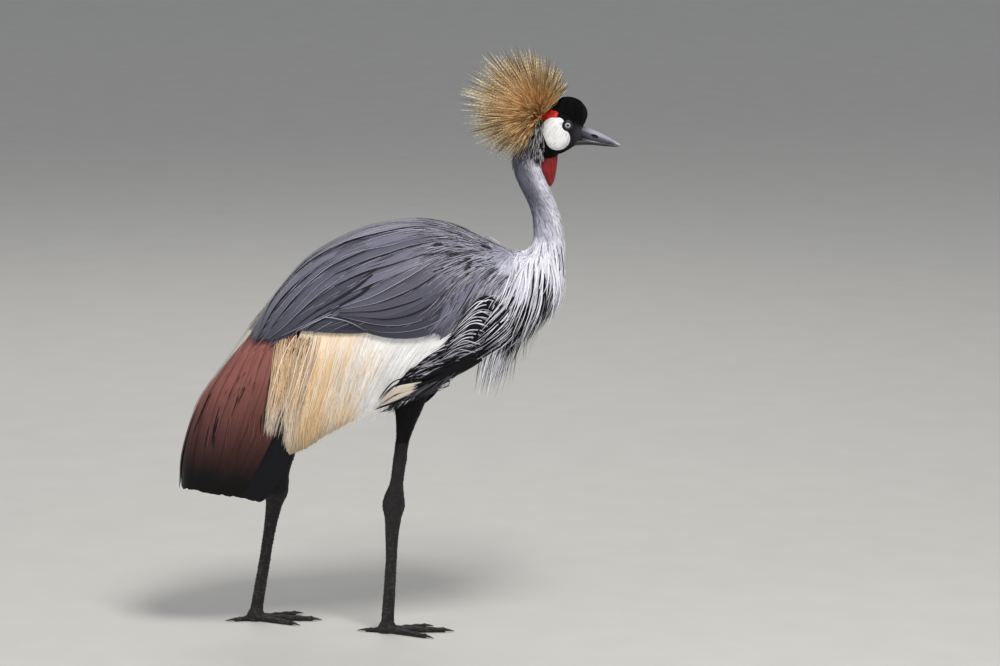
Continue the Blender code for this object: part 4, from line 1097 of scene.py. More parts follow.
def makeFlight():
    look = flightLook
    chestnut, sliver = look["chestnut"], look["sliver"]
    for side, name in bothSides:
        coat, form = Coat("flightCoat_" + name, side), wingForm(side)
        layLong(coat, form, ((252, 396), (254, 436), (244, 470), (233, 497)),
                ((284, 405), (287, 442), (277, 472), (254, 501)), 8, 24, (-9, -6.0, -3.5), look["black"],
                outline="round", columns=9, stations=24, jitter=0.4)
        layLong(coat, form, ((250, 318), (204, 376), (182, 424), (177, 488)),
                ((286, 322), (280, 372), (262, 432), (226, 494)), 10, 38, (-12, -3.4, -1.0),
                (chestnut, chestnut * 0.95), look["end"], "round", columns=9, stations=30, jitter=0.6,
                tipFrom=(0.05, 0.82), vary=0.05, tilt=0.05)
        # dark slits of painted shadow between them, and small wavy marks near the top
        for count, width, along, down, reach, tone in (
                (5, 3.0, (200, 222), (366, 420), (46, 70), sliver),
                (5, 1.5, (200, 262), (356, 430), (30, 50), sliver),
                (16, 0.8, (226, 256), (372, 398), (8, 16), sliver),
                (70, 0.7, (195, 270), (345, 430), (24, 50), chestnut * 0.9)):
            a, b = located(form, np.stack([rng.uniform(*along, count), rng.uniform(*down, count)], -1))
            grow(coat, form, a, b, rng.uniform(*reach, count), width, lie(flightLie),
                 varied(tone, 0.12, count), outline="hair", lift=(-1.4, 0.5), scatter=3, curl=8)
        # straw that shows along the back, above the flight feathers
        layLong(coat, form, ((262, 302), (250, 322), (236, 344), (220, 364)),
                ((266, 304), (254, 326), (240, 348), (226, 366)), 12, 1.3, (-2, 0.8, 0.8),
                covertLook["cream"], covertLook["straw"], "hair", columns=3)
        coat.finish(flightFinish, "chestnut_feathers", (f"wing_{name}_flight",))


def makeTail():
    # flat quills side by side, each under its neighbour towards the middle one
    count, stations = flightLook["tail"], 14
    coat, form = Coat("tailCoat"), tailForm()
    v = np.linspace(-0.86, 0.86, count)
    layer = 0.6 * np.abs(np.arange(count) - (count - 1) / 2)
    along = np.linspace(0, 1, stations)
    ends = len(tailLine) - 1.04 - 0.25 * np.abs(v)
    pathA = 0.1 + (ends - 0.1)[:, None] * along
    pathB = np.repeat(v[:, None], stations, 1)
    half = np.tile(flightLook["tailWidth"] / 2 * np.interp(along, *outlines["quill"]), (count, 1))
    height = np.interp(along, [0, 0.2, 1], [-4, 0.2, 1]) - layer[:, None]
    points = form.spread(pathA, pathB, half, height, 7, 0.08)
    tone = varied(flightLook["black"], 0.1, count)
    paintFeathers(coat, points, tone, np.stack([0.1 + 0 * v, 0.5 + 0.4 * v], -1))
    coat.finish(flightFinish, "black_feathers", ("tail",))


makeFlight()
makeTail()

# neck, breast, flank and thighs
bodyLook = {
    "neck": tint(182, 182, 200), "bright": tint(238, 238, 248), "shade": tint(128, 128, 146),
    "dark": tint(9, 9, 12), "flank": tint(24, 24, 30), "streak": tint(214, 213, 226),
    "grey": tint(88, 88, 100), "thigh": tint(8, 8, 9),
}


def neckTone(points, turn):
    # brighter towards the throat and breast, duller on the nape as painted shade, black near the head
    px, py = pictured(points).T
    look = bodyLook
    tone = mixed(look["shade"], look["neck"], ease(turn, 10, 60))
    breast = ease(py, 200, 255) * ease(px, 500, 538)
    tone = mixed(tone, look["bright"], 0.8 * np.maximum(ease(turn, 70, 140), breast))
    # painted shade, deepest on the nape side of the upper neck
    napeShade = (1 - ease(py, 186, 222)) * (1 - ease(turn, 70, 130))
    tone = mixed(tone, look["shade"] * 0.55, 0.85 * napeShade)
    tone = mixed(tone, look["dark"], ease(py - paleLine(px), -4, 8))
    return mixed(tone, skinLook["black"], headBlack(points[:, 0], points[:, 2]))


def neckLie(points, ahead):
    # the lower neck's strands fall from the nape towards the breast
    px, py = np.moveaxis(pictured(points), -1, 0)
    lean = 0.55 * ease(py, 205, 240) * (1 - ease(py, 268, 296)) * (1 - ease(px, 536, 558))
    return unit(ahead) + lean[..., None] * np.array([1, 0, 0])


def downNeck(*values):
    return lambda t: np.interp(t, [0, 3, 5.4], values)


def underWing(t):
    # how far round the body the folded wing covers it
    return np.interp(t, [5.2, 6.4, 7.4, 8.5], [0, 0, 30, 70])


def makeBodyCoat():
    for side, name in bothSides:
        form = bodyForm(side)
        coat = Coat("neckCoat_" + name, side)
        a, b = rowsOver(form, -0.2, 5.4, 0, 180, downNeck(2.6, 3.2, 4.2), downNeck(1.6, 2.0, 2.7))
        tone = neckTone(form.at(a, b), b)
        tone = tone * np.where(rng.uniform(0, 1, (len(a), 1)) < 0.16, 0.55, 1)
        nape = ease(80 - b, 0, 50) * ease(1.9 - a, 0, 1.2) > 0.4
        for part, rise in ((nape, 2.6), (~nape, 0.4)):
            length, width = downNeck(12, 19, 30)(a), downNeck(1.7, 2.1, 2.7)(a)
            grow(coat, form, *kept(part, a, b, length, width), neckLie, varied(tone[part], 0.1), stations=5,
                 lift=(-2.6, rise), crown=0.25, scatter=5, curl=5)
        coat.finish(softFinish, "neck_feathers")
        coat = Coat("bodyCoat_" + name, side)
        a, b = rowsOver(form, 5.2, 13.4, underWing, 180, 6, 5)
        grow(coat, form, a, b, np.interp(a, [5.3, 7, 10], [26, 34, 42]), 6, lie(bodyLie),
             varied(neckTone(form.at(a, b), b), 0.15), stations=5, lift=(-2.8, 0.2), crown=0.2, scatter=7,
             curl=8)
        coat.finish(softFinish, "body_feathers")


def free(coat, form, a, b, length, width, hang, tone, bow=0.06, leaves=(0.25, 0.9), outline="lance"):
    # strands that leave the coat and hang clear of it
    n, stations = len(a), 11
    root, face = form.at(a, b), form.normal(a, b)
    start = lie(bodyLie)(root, None)
    start = unit(start - (start * face).sum(-1, keepdims=True) * face + rng.normal(0, 0.04, (n, 3)))
    hang = unit(np.broadcast_to(hang, (n, 3)) * [1, form.sign, 1] + rng.normal(0, bow, (n, 3)))
    share = ease(np.linspace(0, 1, stations), *leaves)[None, :, None]
    ahead = unit(start[:, None] + (hang - start)[:, None] * share)
    steps = ahead[:, :-1] * (length / (stations - 1))[:, None, None]
    centre = np.concatenate([np.zeros((n, 1, 3)), np.cumsum(steps, 1)], 1) + (root + face * 0.5)[:, None]
    ribbons(coat, centre, face[:, None], width, tone, unwrapped(form, a, b), outline)


def makeHackles():
    look = bodyLook
    for side, name in bothSides:
        form, coat = bodyForm(side), Coat("hackles_" + name, side)
        # overlapping hackles from the lower neck over the breast
        a, b = rowsOver(form, 4.2, 8.9, lambda t: np.interp(t, [4.4, 6, 7, 8.9], [4, 14, 40, 84]),
                        lambda t: np.interp(t, [4.4, 7.4, 8.9], [180, 180, 130]), 4.4, 2.9)
        px, py = pictured(form.at(a, b)).T
        keep = (py < 293) | (px > 495 - (py - 296) * 0.41) | (b > 140)
        a, b, px, py = kept(keep, a, b, px, py)
        under = py - paleLine(px)
        pale = np.interp(under, [-30, -10, 4, 24, 70], [0.93, 0.8, 0.48, 0.3, 0.24])
        light = rng.uniform(0, 1, len(a)) < pale
        tone = mixed(look["shade"], look["neck"], ease(px, 470, 500))
        tone = mixed(tone, look["bright"], ease(px, 500, 535))
        # dark strands between the pale hackles, partly the dark coat beneath and partly painted shadow
        gap = mixed(look["shade"], look["dark"], ease(under, -18, 2))
        tone = np.where(light[:, None], tone, gap)
        length = np.interp(a, [4.2, 5, 6, 7, 8.9], [30, 40, 54, 54, 42])
        grow(coat, form, a, b, length, np.where(light, 2.0, 3.3), lie(bodyLie), varied(tone, 0.1),
             lift=(-2.2, 1.6), crown=0.35, scatter=3.5, curl=6)
        # long ones that hang clear of the breast, the last of them in loose locks
        n = 620
        a, b = rng.uniform(4.7, 7.6, n), 180 - np.abs(rng.normal(0, 48, n))
        px, py = pictured(form.at(a, b)).T
        under = py - paleLine(px)
        length = np.interp(a, [4.7, 6.3, 7.0, 7.7], [90, 98, 76, 40]) * rng.uniform(0.75, 1.15, n)
        light = rng.uniform(0, 1, n) < np.interp(under, [-20, 0, 20], [0.9, 0.45, 0.26])
        tone = varied(np.where(light[:, None], look["bright"], look["dark"]), 0.12)
        free(coat, form, a, b, length * 0.86, np.where(light, 2.0, 3.4), (-0.4, 0.02, -0.9), tone)
        for place in np.linspace(0, 1, 12):
            n = 9
            spot = between(np.array([548.0, 312]), np.array([500.0, 345]), place) + rng.normal(0, 2.5, (n, 2))
            a, b = located(form, spot)
            hang = (-0.2 + rng.normal(0, 0.13), rng.normal(0, 0.05), -0.97)
            tone = np.where(rng.uniform(0, 1, (n, 1)) < 0.66, look["bright"], look["grey"] * 0.7)
            tone = varied(tone, 0.15)
            length = rng.uniform(64, 122) * rng.uniform(0.85, 1.1, n)
            free(coat, form, a, b, length, 1.7, hang, tone, 0.03, (0.0, 0.5), "hair")
        coat.finish(softFinish, "neck_feathers")


def flankForm(side):
    # the body's side and the wing's lower corner as one sheet over the side view's x and z
    rows = neckAndBody[5:13][::-1]

    def at(x, z):
        top, low = np.interp(x, rows[:, 0], rows[:, 1]), np.interp(x, rows[:, 2], rows[:, 3])
        wide = np.interp(x, (rows[:, 0] + rows[:, 2]) / 2, rows[:, 4])
        body = wide * np.sqrt(1 - heightIn(z, top, low, 0.97) ** 2)
        row = curveAt(foldedWings, np.interp(x, [-138, -41, 69, 170], [3, 2, 1, 0]))
        wing = wingOut(row, x, z) * ease(z, row[..., 3] - 30, row[..., 3] + 4)
        return np.stack([x, side * np.maximum(body, wing), z], -1)

    return Form(at, 1.0, 1.0, side, ((-90, 240), (370, 640)))


# feathers beside the thigh: first and last line, how many, how wide, how far out, colour and tip's colour
black, ash, white, cream = bodyLook["dark"], bodyLook["grey"], covertLook["white"], covertLook["cream"]
flankLines = (
    (((432, 374), (410, 376), (393, 381), (378, 399)), ((430, 378), (411, 380), (395, 385), (379, 400)),
     4, 2.2, 4.0, black, black),
    (((434, 388), (414, 396), (396, 402), (374, 411)), ((437, 390), (422, 402), (406, 409), (392, 413)),
     7, 7, 3.4, black, black),
    (((474, 354), (452, 367), (434, 380), (406, 410)), ((482, 360), (459, 371), (443, 381), (421, 410)),
     15, 6.5, 2.5, black, black),
    (((450, 372), (438, 377), (426, 381), (412, 385)), ((450, 386), (437, 389), (424, 393), (409, 399)),
     9, 5, 4.6, black, black),
    (((442, 374), (420, 387), (404, 396), (388, 404)), ((470, 364), (446, 379), (432, 392), (418, 408)),
     9, 1.2, 5.2, ash, ash * 0.7),
    (((453, 333), (441, 340), (429, 349), (414, 362)), ((447, 343), (436, 350), (424, 358), (410, 369)),
     5, 2.0, 4.2, white, white),
    # the wing's cream feather, dimmed as painted shade
    (((422, 382), (406, 384), (393, 388), (378, 401)), ((418, 389), (407, 393), (395, 398), (381, 405)),
     6, 7, 3.8, cream * 0.74, cream * 0.6),
)
flankLook = {
    "rear": ((297, 318, 337, 354, 372, 380, 400, 425), (481, 465, 453, 430, 411, 401, 394, 386)),
    "low": ((400, 415, 426, 448, 470, 490), (414, 406, 393, 374, 358, 345)),
    "swirl": (np.array([(500, 301), (490, 296), (481, 297), (472, 304), (462, 315)], float),
              np.array([(480, 352), (470, 347), (459, 347), (447, 353), (434, 363)], float)),
    "sweep": (((512, 276), (503, 294), (492, 311), (479, 326)),
              ((544, 296), (527, 321), (502, 346), (470, 368))),
}
flankLie = fromTable([400, 440, 470, 500], [300, 340, 370, 400],
                     [(35, 40, 40, 45), (12, 10, 8, 35), (20, 12, 8, 26), (32, 25, 20, 30)])


def makeFlanks():
    look = bodyLook
    dark, flank, streak, grey, bright = (look[key] for key in ("dark", "flank", "streak", "grey", "bright"))
    for side, name in bothSides:
        form, coat = flankForm(side), Coat("flankCoat_" + name, side)
        for gap, width, shades, chances, rise, longest in (
                (5.0, 5.0, (dark, flank), (0.7, 0.3), 1.6, 50),
                (6.5, 1.4, (streak, grey, dark), (0.4, 0.25, 0.35), 3.0, 86)):
            a, b = rowsOver(form, -25, 190, 384, 520, gap * 1.5, gap * 0.8)
            px, py = pictured(form.at(a, b)).T
            turn = np.radians(flankLie(px, py) + 8)
            tail = np.interp(py + 14 * np.sin(turn), *flankLook["rear"]) + rng.uniform(-3, 6, len(a))
            most = longest * rng.uniform(0.6, 1, len(a))
            length = np.minimum((px - tail) / np.cos(turn) * pixelSize, most)
            keep = (length > 14) & (py > 318 - (px - 461) * 0.3) & (px < 500 - (py - 340) * 0.4)
            keep &= py < np.interp(px, *flankLook["low"]) - 1
            a, b, px, py, length = kept(keep, a, b, px, py, length)
            tone = np.array(shades)[rng.choice(len(shades), len(a), p=chances)]
            tone = mixed(tone, flank, 0.6 * (1 - ease(px, 405, 440)))
            tone = mixed(tone, flank, 0.9 * ease(py, 376, 390) * (1 - ease(px, 440, 456)))
            grow(coat, form, a, b, length, width, lie(flankLie), varied(tone, 0.15), lift=(-0.5, rise),
                 curl=8, swing=(-6, 24))
        # pale strands of the side that curl back over black
        first, last = flankLook["swirl"]
        for slip, count, width, tone, depth, trim in (
                (0, 17, 6.0, dark, (-1, 1.6, 3.4), 0.05), (0, 14, 1.6, bright, (0.5, 2.6, 4.8), 0.2),
                (2, 8, 1.1, streak, (0.5, 2.8, 5.0), 0.4), (-3, 6, 1.3, grey, (0.5, 2.6, 4.8), 0.4)):
            layLong(coat, form, first + [slip, 1.5], last + [slip, 1.5], count, width, depth, tone,
                    outline="lance", columns=3, stations=14, jitter=1.1, vary=0.2, crown=0.3, uneven=0.45,
                    trim=trim)
        # the breast's strands that sweep down over their ends
        for count, width, tone, rise in ((20, 1.9, bright, 3.8), (30, 3.4, dark, 3.4),
                                         (10, 1.3, streak, 4.2)):
            layLong(coat, form, *flankLook["sweep"], count, width, (-1, rise, rise), tone, outline="lance",
                    columns=3, stations=10, jitter=2.0, vary=0.2, crown=0.3, uneven=0.9, trim=0.35)
        # a cream feather of the wing that shows between the dark ones, dimmed as painted shade, and those
        # round it
        for first, last, count, width, rise, tone, tip in flankLines:
            layLong(coat, form, first, last, count, width, (0, rise, rise), tone, tip, "leaf", columns=5,
                    stations=12, jitter=0.7, crown=0.1)
        coat.finish(softFinish, "body_feathers")


def makeThighs():
    for side, name in bothSides:
        form, coat = legForm(side), Coat("thighCoat_" + name)
        a, b = rowsOver(form, 0.45, 3.4, 0, 360, 4.5, 3.8)
        a, b = kept(rng.uniform(0, 1, len(a)) > ease(a, 2.5, 3.4), a, b)
        grow(coat, form, a, b, np.interp(a, [0, 3], [30, 12]), np.interp(a, [0, 3], [5, 2.6]), straight,
             varied(bodyLook["thigh"], 0.3, len(a)), stations=4, lift=(-1.5, 0.7), crown=0.25, scatter=9)
        coat.finish(softFinish, "body_feathers")


makeBodyCoat()
makeHackles()
makeFlanks()
makeThighs()

# short feathers of the head, rooted on the skin itself
headLook = {
    "centre": (262, 0, 824), "from": (304, 0, 818), "gap": 1.15,
    "streaks": np.array([tint(14, 14, 16), tint(226, 224, 226), tint(116, 114, 122)]),
}


def scattered(obj, keep, gap):
    # roots spread by area over a mesh's faces, and the way the skin faces there
    mesh = obj.data
    mesh.calc_loop_triangles()
    corners = np.empty(len(mesh.loop_triangles) * 3, np.int32)
    mesh.loop_triangles.foreach_get("vertices", corners)
    faces = np.empty(len(mesh.vertices) * 3)
    mesh.vertex_normals.foreach_get("vector", faces)
    corners = corners.reshape(-1, 3)
    points, faces = meshPoints(obj)[corners], faces.reshape(-1, 3)[corners]
    chosen = keep(points.mean(1))
    points, faces = points[chosen], faces[chosen]
    area = np.linalg.norm(np.cross(points[:, 1] - points[:, 0], points[:, 2] - points[:, 0]), axis=1) / 2
    pick = rng.choice(len(area), int(area.sum() / gap ** 2), p=area / area.sum())
    share = rng.dirichlet((1, 1, 1), len(pick))[..., None]
    return (points[pick] * share).sum(1), unit((faces[pick] * share).sum(1))


def tufts(coat, root, face, ahead, length, width, tone, rise, scatter=0.2, stations=3):
    ahead = unit(ahead + rng.normal(0, scatter, root.shape))
    ahead = unit(ahead - (ahead * face).sum(-1, keepdims=True) * face)
    shares = np.linspace(0, 1, stations)
    length = np.broadcast_to(length, len(root)) * rng.uniform(0.8, 1.2, len(root))
    centre = root[:, None] + ahead[:, None] * (length[:, None] * shares)[..., None]
    centre = centre + face[:, None] * (between(-0.5, rise, shares)[None, :, None])
    out = unit(root - np.array(headLook["centre"]))
    lies = np.stack([np.arctan2(out[:, 1], out[:, 0]) / (2 * math.pi) + 0.5,
                     np.arccos(np.clip(out[:, 2], -1, 1)) / math.pi], -1)
    ribbons(coat, centre, face[:, None], width, tone, lies * 0.96 + 0.02)


def behindCheek(points):
    x, _, z = points.T
    return (x > 192) & (x < 235) & (z > 768) & (z < 842) & ((x > 224) | (z < 812)) & ~bareFace(points)


def underCrest(points):
    x, y, z = points.T
    apart = (inRounds(redRounds, x, z) > 0.1) & (inRounds(cheekRounds, x, z) < -0.04)
    return apart & (x < 246) & (np.abs(y) > 9)


def makeHeadCoat():
    coat = Coat("headCoat")

    def feathered(points):
        x, y, z = points.T
        eye = np.hypot(x - eyeCentre[0], z - eyeCentre[2])
        return headBlack(x, z) * (x < 299) * ~bareFace(points) * ((eye > 8.6) | (np.abs(y) < 14)) > 0.5

    root, face = scattered(skin, feathered, headLook["gap"])
    x, z = root[:, 0], root[:, 2]
    away = unit(root - np.array(headLook["from"], float))
    cap = ease(z, 838, 848)
    lore = ease(x, 266, 280) * ease(836 - z, 0, 8)
    tone = mixed(skinLook["black"], skinLook["lore"], 0.9 * lore * rng.uniform(0.6, 1, len(x)))
    tufts(coat, root, face, away, 3.0 + 1.4 * cap - 1.4 * lore + 2 * ease(240 - x, 0, 10),
          1.1 + 0.3 * cap, varied(tone, 0.3), 0.5)
    # streaked feathers behind the cheek
    root, face = scattered(skin, behindCheek, 1.5)
    some = rng.uniform(0, 1, len(root)) < ease(root[:, 0] + 0.5 * (root[:, 2] - 800), 186, 222)
    root, face = kept(some, root, face)
    pick = rng.choice(3, len(root), p=(0.42, 0.36, 0.22))
    ahead = np.stack([0.01 * (root[:, 0] - 232), 0 * pick, -1 + 0 * pick], -1)
    tufts(coat, root, face, ahead, 15, 1.1, varied(headLook["streaks"][pick], 0.2), 3.4, 0.12, 5)
    # small red ones under the crest
    root, face = scattered(skin, underCrest, 1.4)
    tufts(coat, root, face, np.array([-1, 0, 0.3]), 3.2, 0.9, varied(skinLook["red"], 0.2, len(root)), 0.5)
    coat.finish(velvetFinish, "head_feathers")


makeHeadCoat()

# crest of stiff bristles that spring from the crown
crestLook = {
    "root": (230, 0, 847), "dome": (13, 14, 13), "centre": (190, 0, 861), "radii": (87, 66, 84),
    "bristles": 8200, "width": 1.3,
    "base": tint(252, 196, 132), "mid": tint(253, 214, 156), "tip": tint(255, 249, 214),
    "dark": tint(74, 50, 30),
    "hanging": np.array([tint(20, 20, 22), tint(240, 238, 236), tint(120, 117, 122)]),
}


def makeCrest():
    look = crestLook
    coat = Coat("crestCoat")
    order = np.arange(look["bristles"]) + 0.5
    up = 1 - 2 * order / look["bristles"]
    turn = math.pi * (3 - math.sqrt(5)) * order
    flat = np.sqrt(1 - up ** 2)
    way = np.stack([flat * np.cos(turn), flat * np.sin(turn), up], -1)
    way = unit(way + rng.normal(0, 0.045, way.shape))
    way = way[way[:, 0] < np.where(way[:, 2] > 0, 1.1 * way[:, 2], 0) - 0.03]
    n = len(way)
    root = np.array(look["root"], float) + way * look["dome"]
    scale = 1 / np.array(look["radii"], float)
    p, d = (root - np.array(look["centre"])) * scale, way * scale
    aa, bb, cc = (d * d).sum(1), 2 * (p * d).sum(1), (p * p).sum(1) - 1
    reach = (-bb + np.sqrt(bb * bb - 4 * aa * cc)) / (2 * aa)
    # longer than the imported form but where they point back
    reach = reach * (1.26 - 0.18 * np.maximum(-way[:, 0], 0) ** 2 - 0.1 * np.abs(way[:, 1]))
    reach = reach * (0.6 + 0.4 * rng.uniform(0, 1, n))
    shares = np.linspace(0, 1, 6)
    side = unit(np.cross(way, rng.normal(0, 1, (n, 3))))
    bow = side * rng.normal(0, 1.2, (n, 1)) - np.array([0, 0, 1]) * rng.uniform(-1, 1.5, (n, 1))
    centre = root[:, None] + way[:, None] * (reach[:, None] * shares)[..., None]
    centre = centre + bow[:, None] * (shares * (1 - shares) * 4)[None, :, None]
    lies = np.stack([0.5 + 0.3 * way[:, 0], 0.5 + 0.3 * way[:, 1]], -1)
    # dark tips on some bristles, more on the top ones, as painted shadow among the bristles
    high = ease(way[:, 2], 0.5, 0.95)
    dim = rng.uniform(0, 1, n) < 0.36 + 0.2 * high
    tone = mixed(look["base"], look["mid"], rng.uniform(0, 1, n))
    tip = np.where(dim[:, None], look["dark"], look["tip"])
    tip = mixed(tip, look["mid"], 0.85 * ease(np.abs(way[:, 1]), 0.35, 0.75))
    # those that hang behind the cheek are black, grey and white
    hang = ease(np.degrees(np.arctan2(-way[:, 2], -way[:, 0])) + rng.normal(0, 5, n), 58, 70)
    streaks = look["hanging"][rng.choice(3, n, p=(0.45, 0.3, 0.25))]
    tone, tip = mixed(tone, streaks * 0.6, hang), mixed(tip, streaks, hang)
    tone, tip = varied(tone, 0.1), varied(tip, 0.15)
    ribbons(coat, centre, side[:, None], look["width"], tone, lies, "bristle", 0.8, tip, 0.42)
    coat.finish(bristleFinish, "crest_bristles", ("crest",))


makeCrest()

# bill
billLook = {
    "upper": np.array([
        (286, 830, 809.6, 11), (300, 828, 807.4, 8.6), (314, 822.5, 804.4, 7.0), (330, 815.5, 800.4, 5.0),
        (346, 806.5, 797.4, 3.2), (356, 800, 795.8, 1.8), (360.5, 796.6, 795.4, 0.7)], float),
    "lower": np.array([
        (286, 809.2, 796, 10.5), (300, 807.0, 797, 8.0), (314, 804.0, 797, 6.2), (330, 800.0, 795.5, 4.4),
        (346, 797.0, 794.2, 2.6), (356, 795.4, 793.8, 1.2)], float),
    "nostril": ((318, 5.6, 812.5), (5.5, 2.4, 2.4), 18),
}


def billFinish():
    f = Finish("slate grey horn", Specular_IOR_Level=0.35, Coat_Weight=0.05, Coat_Roughness=0.3)
    x, y, z = f.split(f.place())
    mouth = z - (809.4 - (x - 286) * 0.195)
    grain = f.noise(f.join(x * 0.12, y * 0.6, z * 0.9), 1.0, 4)
    cloud = f.noise(f.place(), 0.09, 3)
    colour = f.blend(tint(92, 91, 103), tint(66, 65, 75), cloud.band(0.45, 0.75))
    colour = f.blend(colour, tint(158, 157, 172), (z - (831 - (x - 286) * 0.4)).band(-7, -1))
    colour = f.blend(tint(19, 19, 22), colour, mouth.band(-2.2, -0.4))
    edge = mouth + 0.6
    lip = edge.band(-0.7, 0) * (1 - edge.band(0, 0.7)) * (1 - x.band(322, 334))
    colour = f.blend(colour, tint(190, 190, 198), lip)
    colour = f.blend(colour, tint(206, 202, 200), x.band(346, 361) * (z - 797).band(-2, 2))
    # the nostril's hollow painted near black as painted shade
    hole = ((x - 318) / 6.2).hypot((z - 812.3 + (x - 318) * 0.32) / 2.7)
    colour = f.blend(tint(6, 6, 7), colour, hole.band(0.85, 1.1))
    colour = f.blend(tint(46, 46, 53), colour, x.band(292, 318))
    return f.finished(f.scaled(colour, 0.85 + grain * 0.3), 0.38 + grain * 0.2, grain, 0.0004, 0.35)


def makeBill():
    finish = billFinish()
    for key in ("upper", "lower"):
        rows = billLook[key]
        work = bmesh.new()
        rings = []
        for t in np.linspace(0, len(rows) - 1, 30):
            x, high, low, width = curveAt(rows, t)
            turns = np.radians(circle(28))
            lip = 1 - 0.25 * np.maximum(0, -np.cos(turns)) ** 2 if key == "upper" else 1
            ridge = np.abs(np.sin(turns)) ** 1.15 * np.sign(np.sin(turns))
            rings.append(np.stack([x + 0 * turns, width * ridge * lip,
                                   (high + low) / 2 + (high - low) / 2 * np.cos(turns)], -1))
        loft(work, rings)
        bill = meshFrom("bill_" + key + "_horn", work)
        if key == "upper":
            centre, radii, slant = billLook["nostril"]
            for side in (-1, 1):
                work = bmesh.new()
                place = Matrix.Translation((centre[0], side * centre[1], centre[2]))
                place = place @ Matrix.Rotation(math.radians(slant), 4, "Y") @ Matrix.Diagonal((*radii, 1))
                bmesh.ops.create_uvsphere(work, u_segments=20, v_segments=12, radius=1, matrix=place)
                slot = meshFrom("nostrilCut", work)
                cut = bill.modifiers.new("nostril", "BOOLEAN")
                cut.operation, cut.object, cut.solver = "DIFFERENCE", slot, "EXACT"
                applied(bill)
                bpy.data.objects.remove(slot)
        bill.data.shade_smooth()
        bill.data.set_sharp_from_angle(angle=math.radians(50))
        settle(bill, finish, ("bill_" + key,))


makeBill()


# eyes and lids
def eyeFinish():
    f = Finish("wet pale iris", Specular_IOR_Level=0.6, Coat_Weight=1.0, Coat_Roughness=0.03, Roughness=0.12)
    x, _, z = f.split(f.place())
    across, up = x - eyeCentre[0], z - eyeCentre[2]
    out = across.hypot(up)
    turn = across.maths("ARCTAN2", up, across)
    rays = f.noise(f.join(turn * 7, out * 0.35, 0.0), 1.0, 3)
    colour = f.blend(tint(152, 168, 180), tint(212, 220, 226), rays.band(0.35, 0.7))
    colour = f.blend(colour, tint(110, 130, 148), out.band(3.6, 5.0) * 0.7)
    colour = f.blend(tint(4, 4, 5), colour, out.band(2.0, 2.35))
    colour = f.blend(colour, tint(8, 8, 10), out.band(5.0, 5.5))
    return f.finished(colour)


def makeEyes():
    finish = eyeFinish()
    lids = bmesh.new()
    for side, name in bothSides:
        centre = Vector((eyeCentre[0], side * eyeCentre[1], eyeCentre[2]))
        work = bmesh.new()
        turned = Matrix.Translation(centre) @ Matrix.Rotation(math.radians(90), 4, "X")
        bmesh.ops.create_uvsphere(work, u_segments=40, v_segments=24, radius=eyeRadius, matrix=turned)
        settle(meshFrom("eyeball_" + name, work), finish, ("eye_" + name,))
        # upper and lower lid as a rim of soft folds round the eye
        for radius, thick, out in ((5.9, 1.1, 20.9), (7.3, 1.3, 20.0)):
            start = Matrix.Translation(centre + Vector((radius, side * (out - eyeCentre[1]), 0)))
            rim = bmesh.ops.create_circle(lids, radius=thick, segments=10, matrix=start)["verts"]
            edges = list({edge for vert in rim for edge in vert.link_edges})
            bmesh.ops.spin(lids, geom=rim + edges, cent=centre, axis=(0, 1, 0), angle=2 * math.pi, steps=36,
                           use_merge=True, use_duplicate=False)
    f = Finish("grey lid skin", Specular_IOR_Level=0.5)
    wrinkle = f.noise(f.place(), 1.4, 4, 0.6)
    colour = f.blend(tint(14, 14, 17), tint(46, 47, 56), wrinkle.band(0.4, 0.7))
    settle(meshFrom("eyelids", lids), f.finished(colour, 0.5, wrinkle, 0.0003, 0.6))


makeEyes()


# throat wattle
wattleLook = {
    "rows": np.array([
        (259, 784, 233, 780, 9), (258, 768, 232, 764, 10.5), (256, 752, 235, 750, 9), (253, 739, 240, 739, 6),
        (248, 730, 245, 730, 2)], float),
    "deep": tint(98, 4, 8), "red": tint(160, 9, 14), "pleats": 7, "pleat": 0.07,
}


def makeWattle():
    look, rows = wattleLook, wattleLook["rows"]
    f = Finish("bare red skin", Subsurface_Weight=0.15, Specular_IOR_Level=0.45, Sheen_Weight=0.1)
    f.shader.inputs["Subsurface Radius"].default_value = (0.004, 0.0012, 0.0008)
    x, y, z = f.split(f.place())
    folds = f.noise(f.join(x * 0.45, y * 0.45, z * 0.06), 1.0, 4)
    pores = f.noise(f.place(), 0.9, 4, 0.6)
    colour = f.scaled(f.blend(look["deep"], look["red"], folds.band(0.3, 0.7)), 0.85 + pores * 0.3)
    finish = f.finished(colour, 0.5 + pores * 0.15, folds + pores * 0.4, 0.0012, 0.6)
    work = bmesh.new()
    rings = []
    for t in np.linspace(0, len(rows) - 1, 34):
        row = curveAt(rows, t)
        turns = np.radians(circle(32))
        x, z = upRing(row, (np.cos(turns) + 1) / 2)
        pleat = 1 + look["pleat"] * np.sin(look["pleats"] * turns + 0.8 * t) * ease(t, 0.3, 1.2)
        rings.append(np.stack([x, row[4] * np.sin(turns) * pleat, z], -1))
    loft(work, rings)
    settle(meshFrom("wattleSkin", work), finish, ("wattle",))


makeWattle()

# legs, feet and claws
footLook = {
    "toes": {"inner": (-31, 72, 6.0), "middle": (-2, 94, 6.6), "outer": (33, 76, 6.0),
             "hind": (192, 36, 5.4)},  # bearing, length and thickness
    "tipShare": 0.66, "clawLength": 15, "clawShare": 0.8, "clawDrop": 1.2,
    "pad": np.array([(0, 13, 11), (5, 15.5, 13), (12, 14.5, 12.5), (20, 10, 9)], float),
    "skin": tint(27, 24, 27), "scute": tint(33, 30, 32), "dust": tint(112, 98, 88),
    "scutes": ((0, 8.5), (38, 6.5), (-38, 6.5), (180, 6.0)),  # turn round the leg and width
}


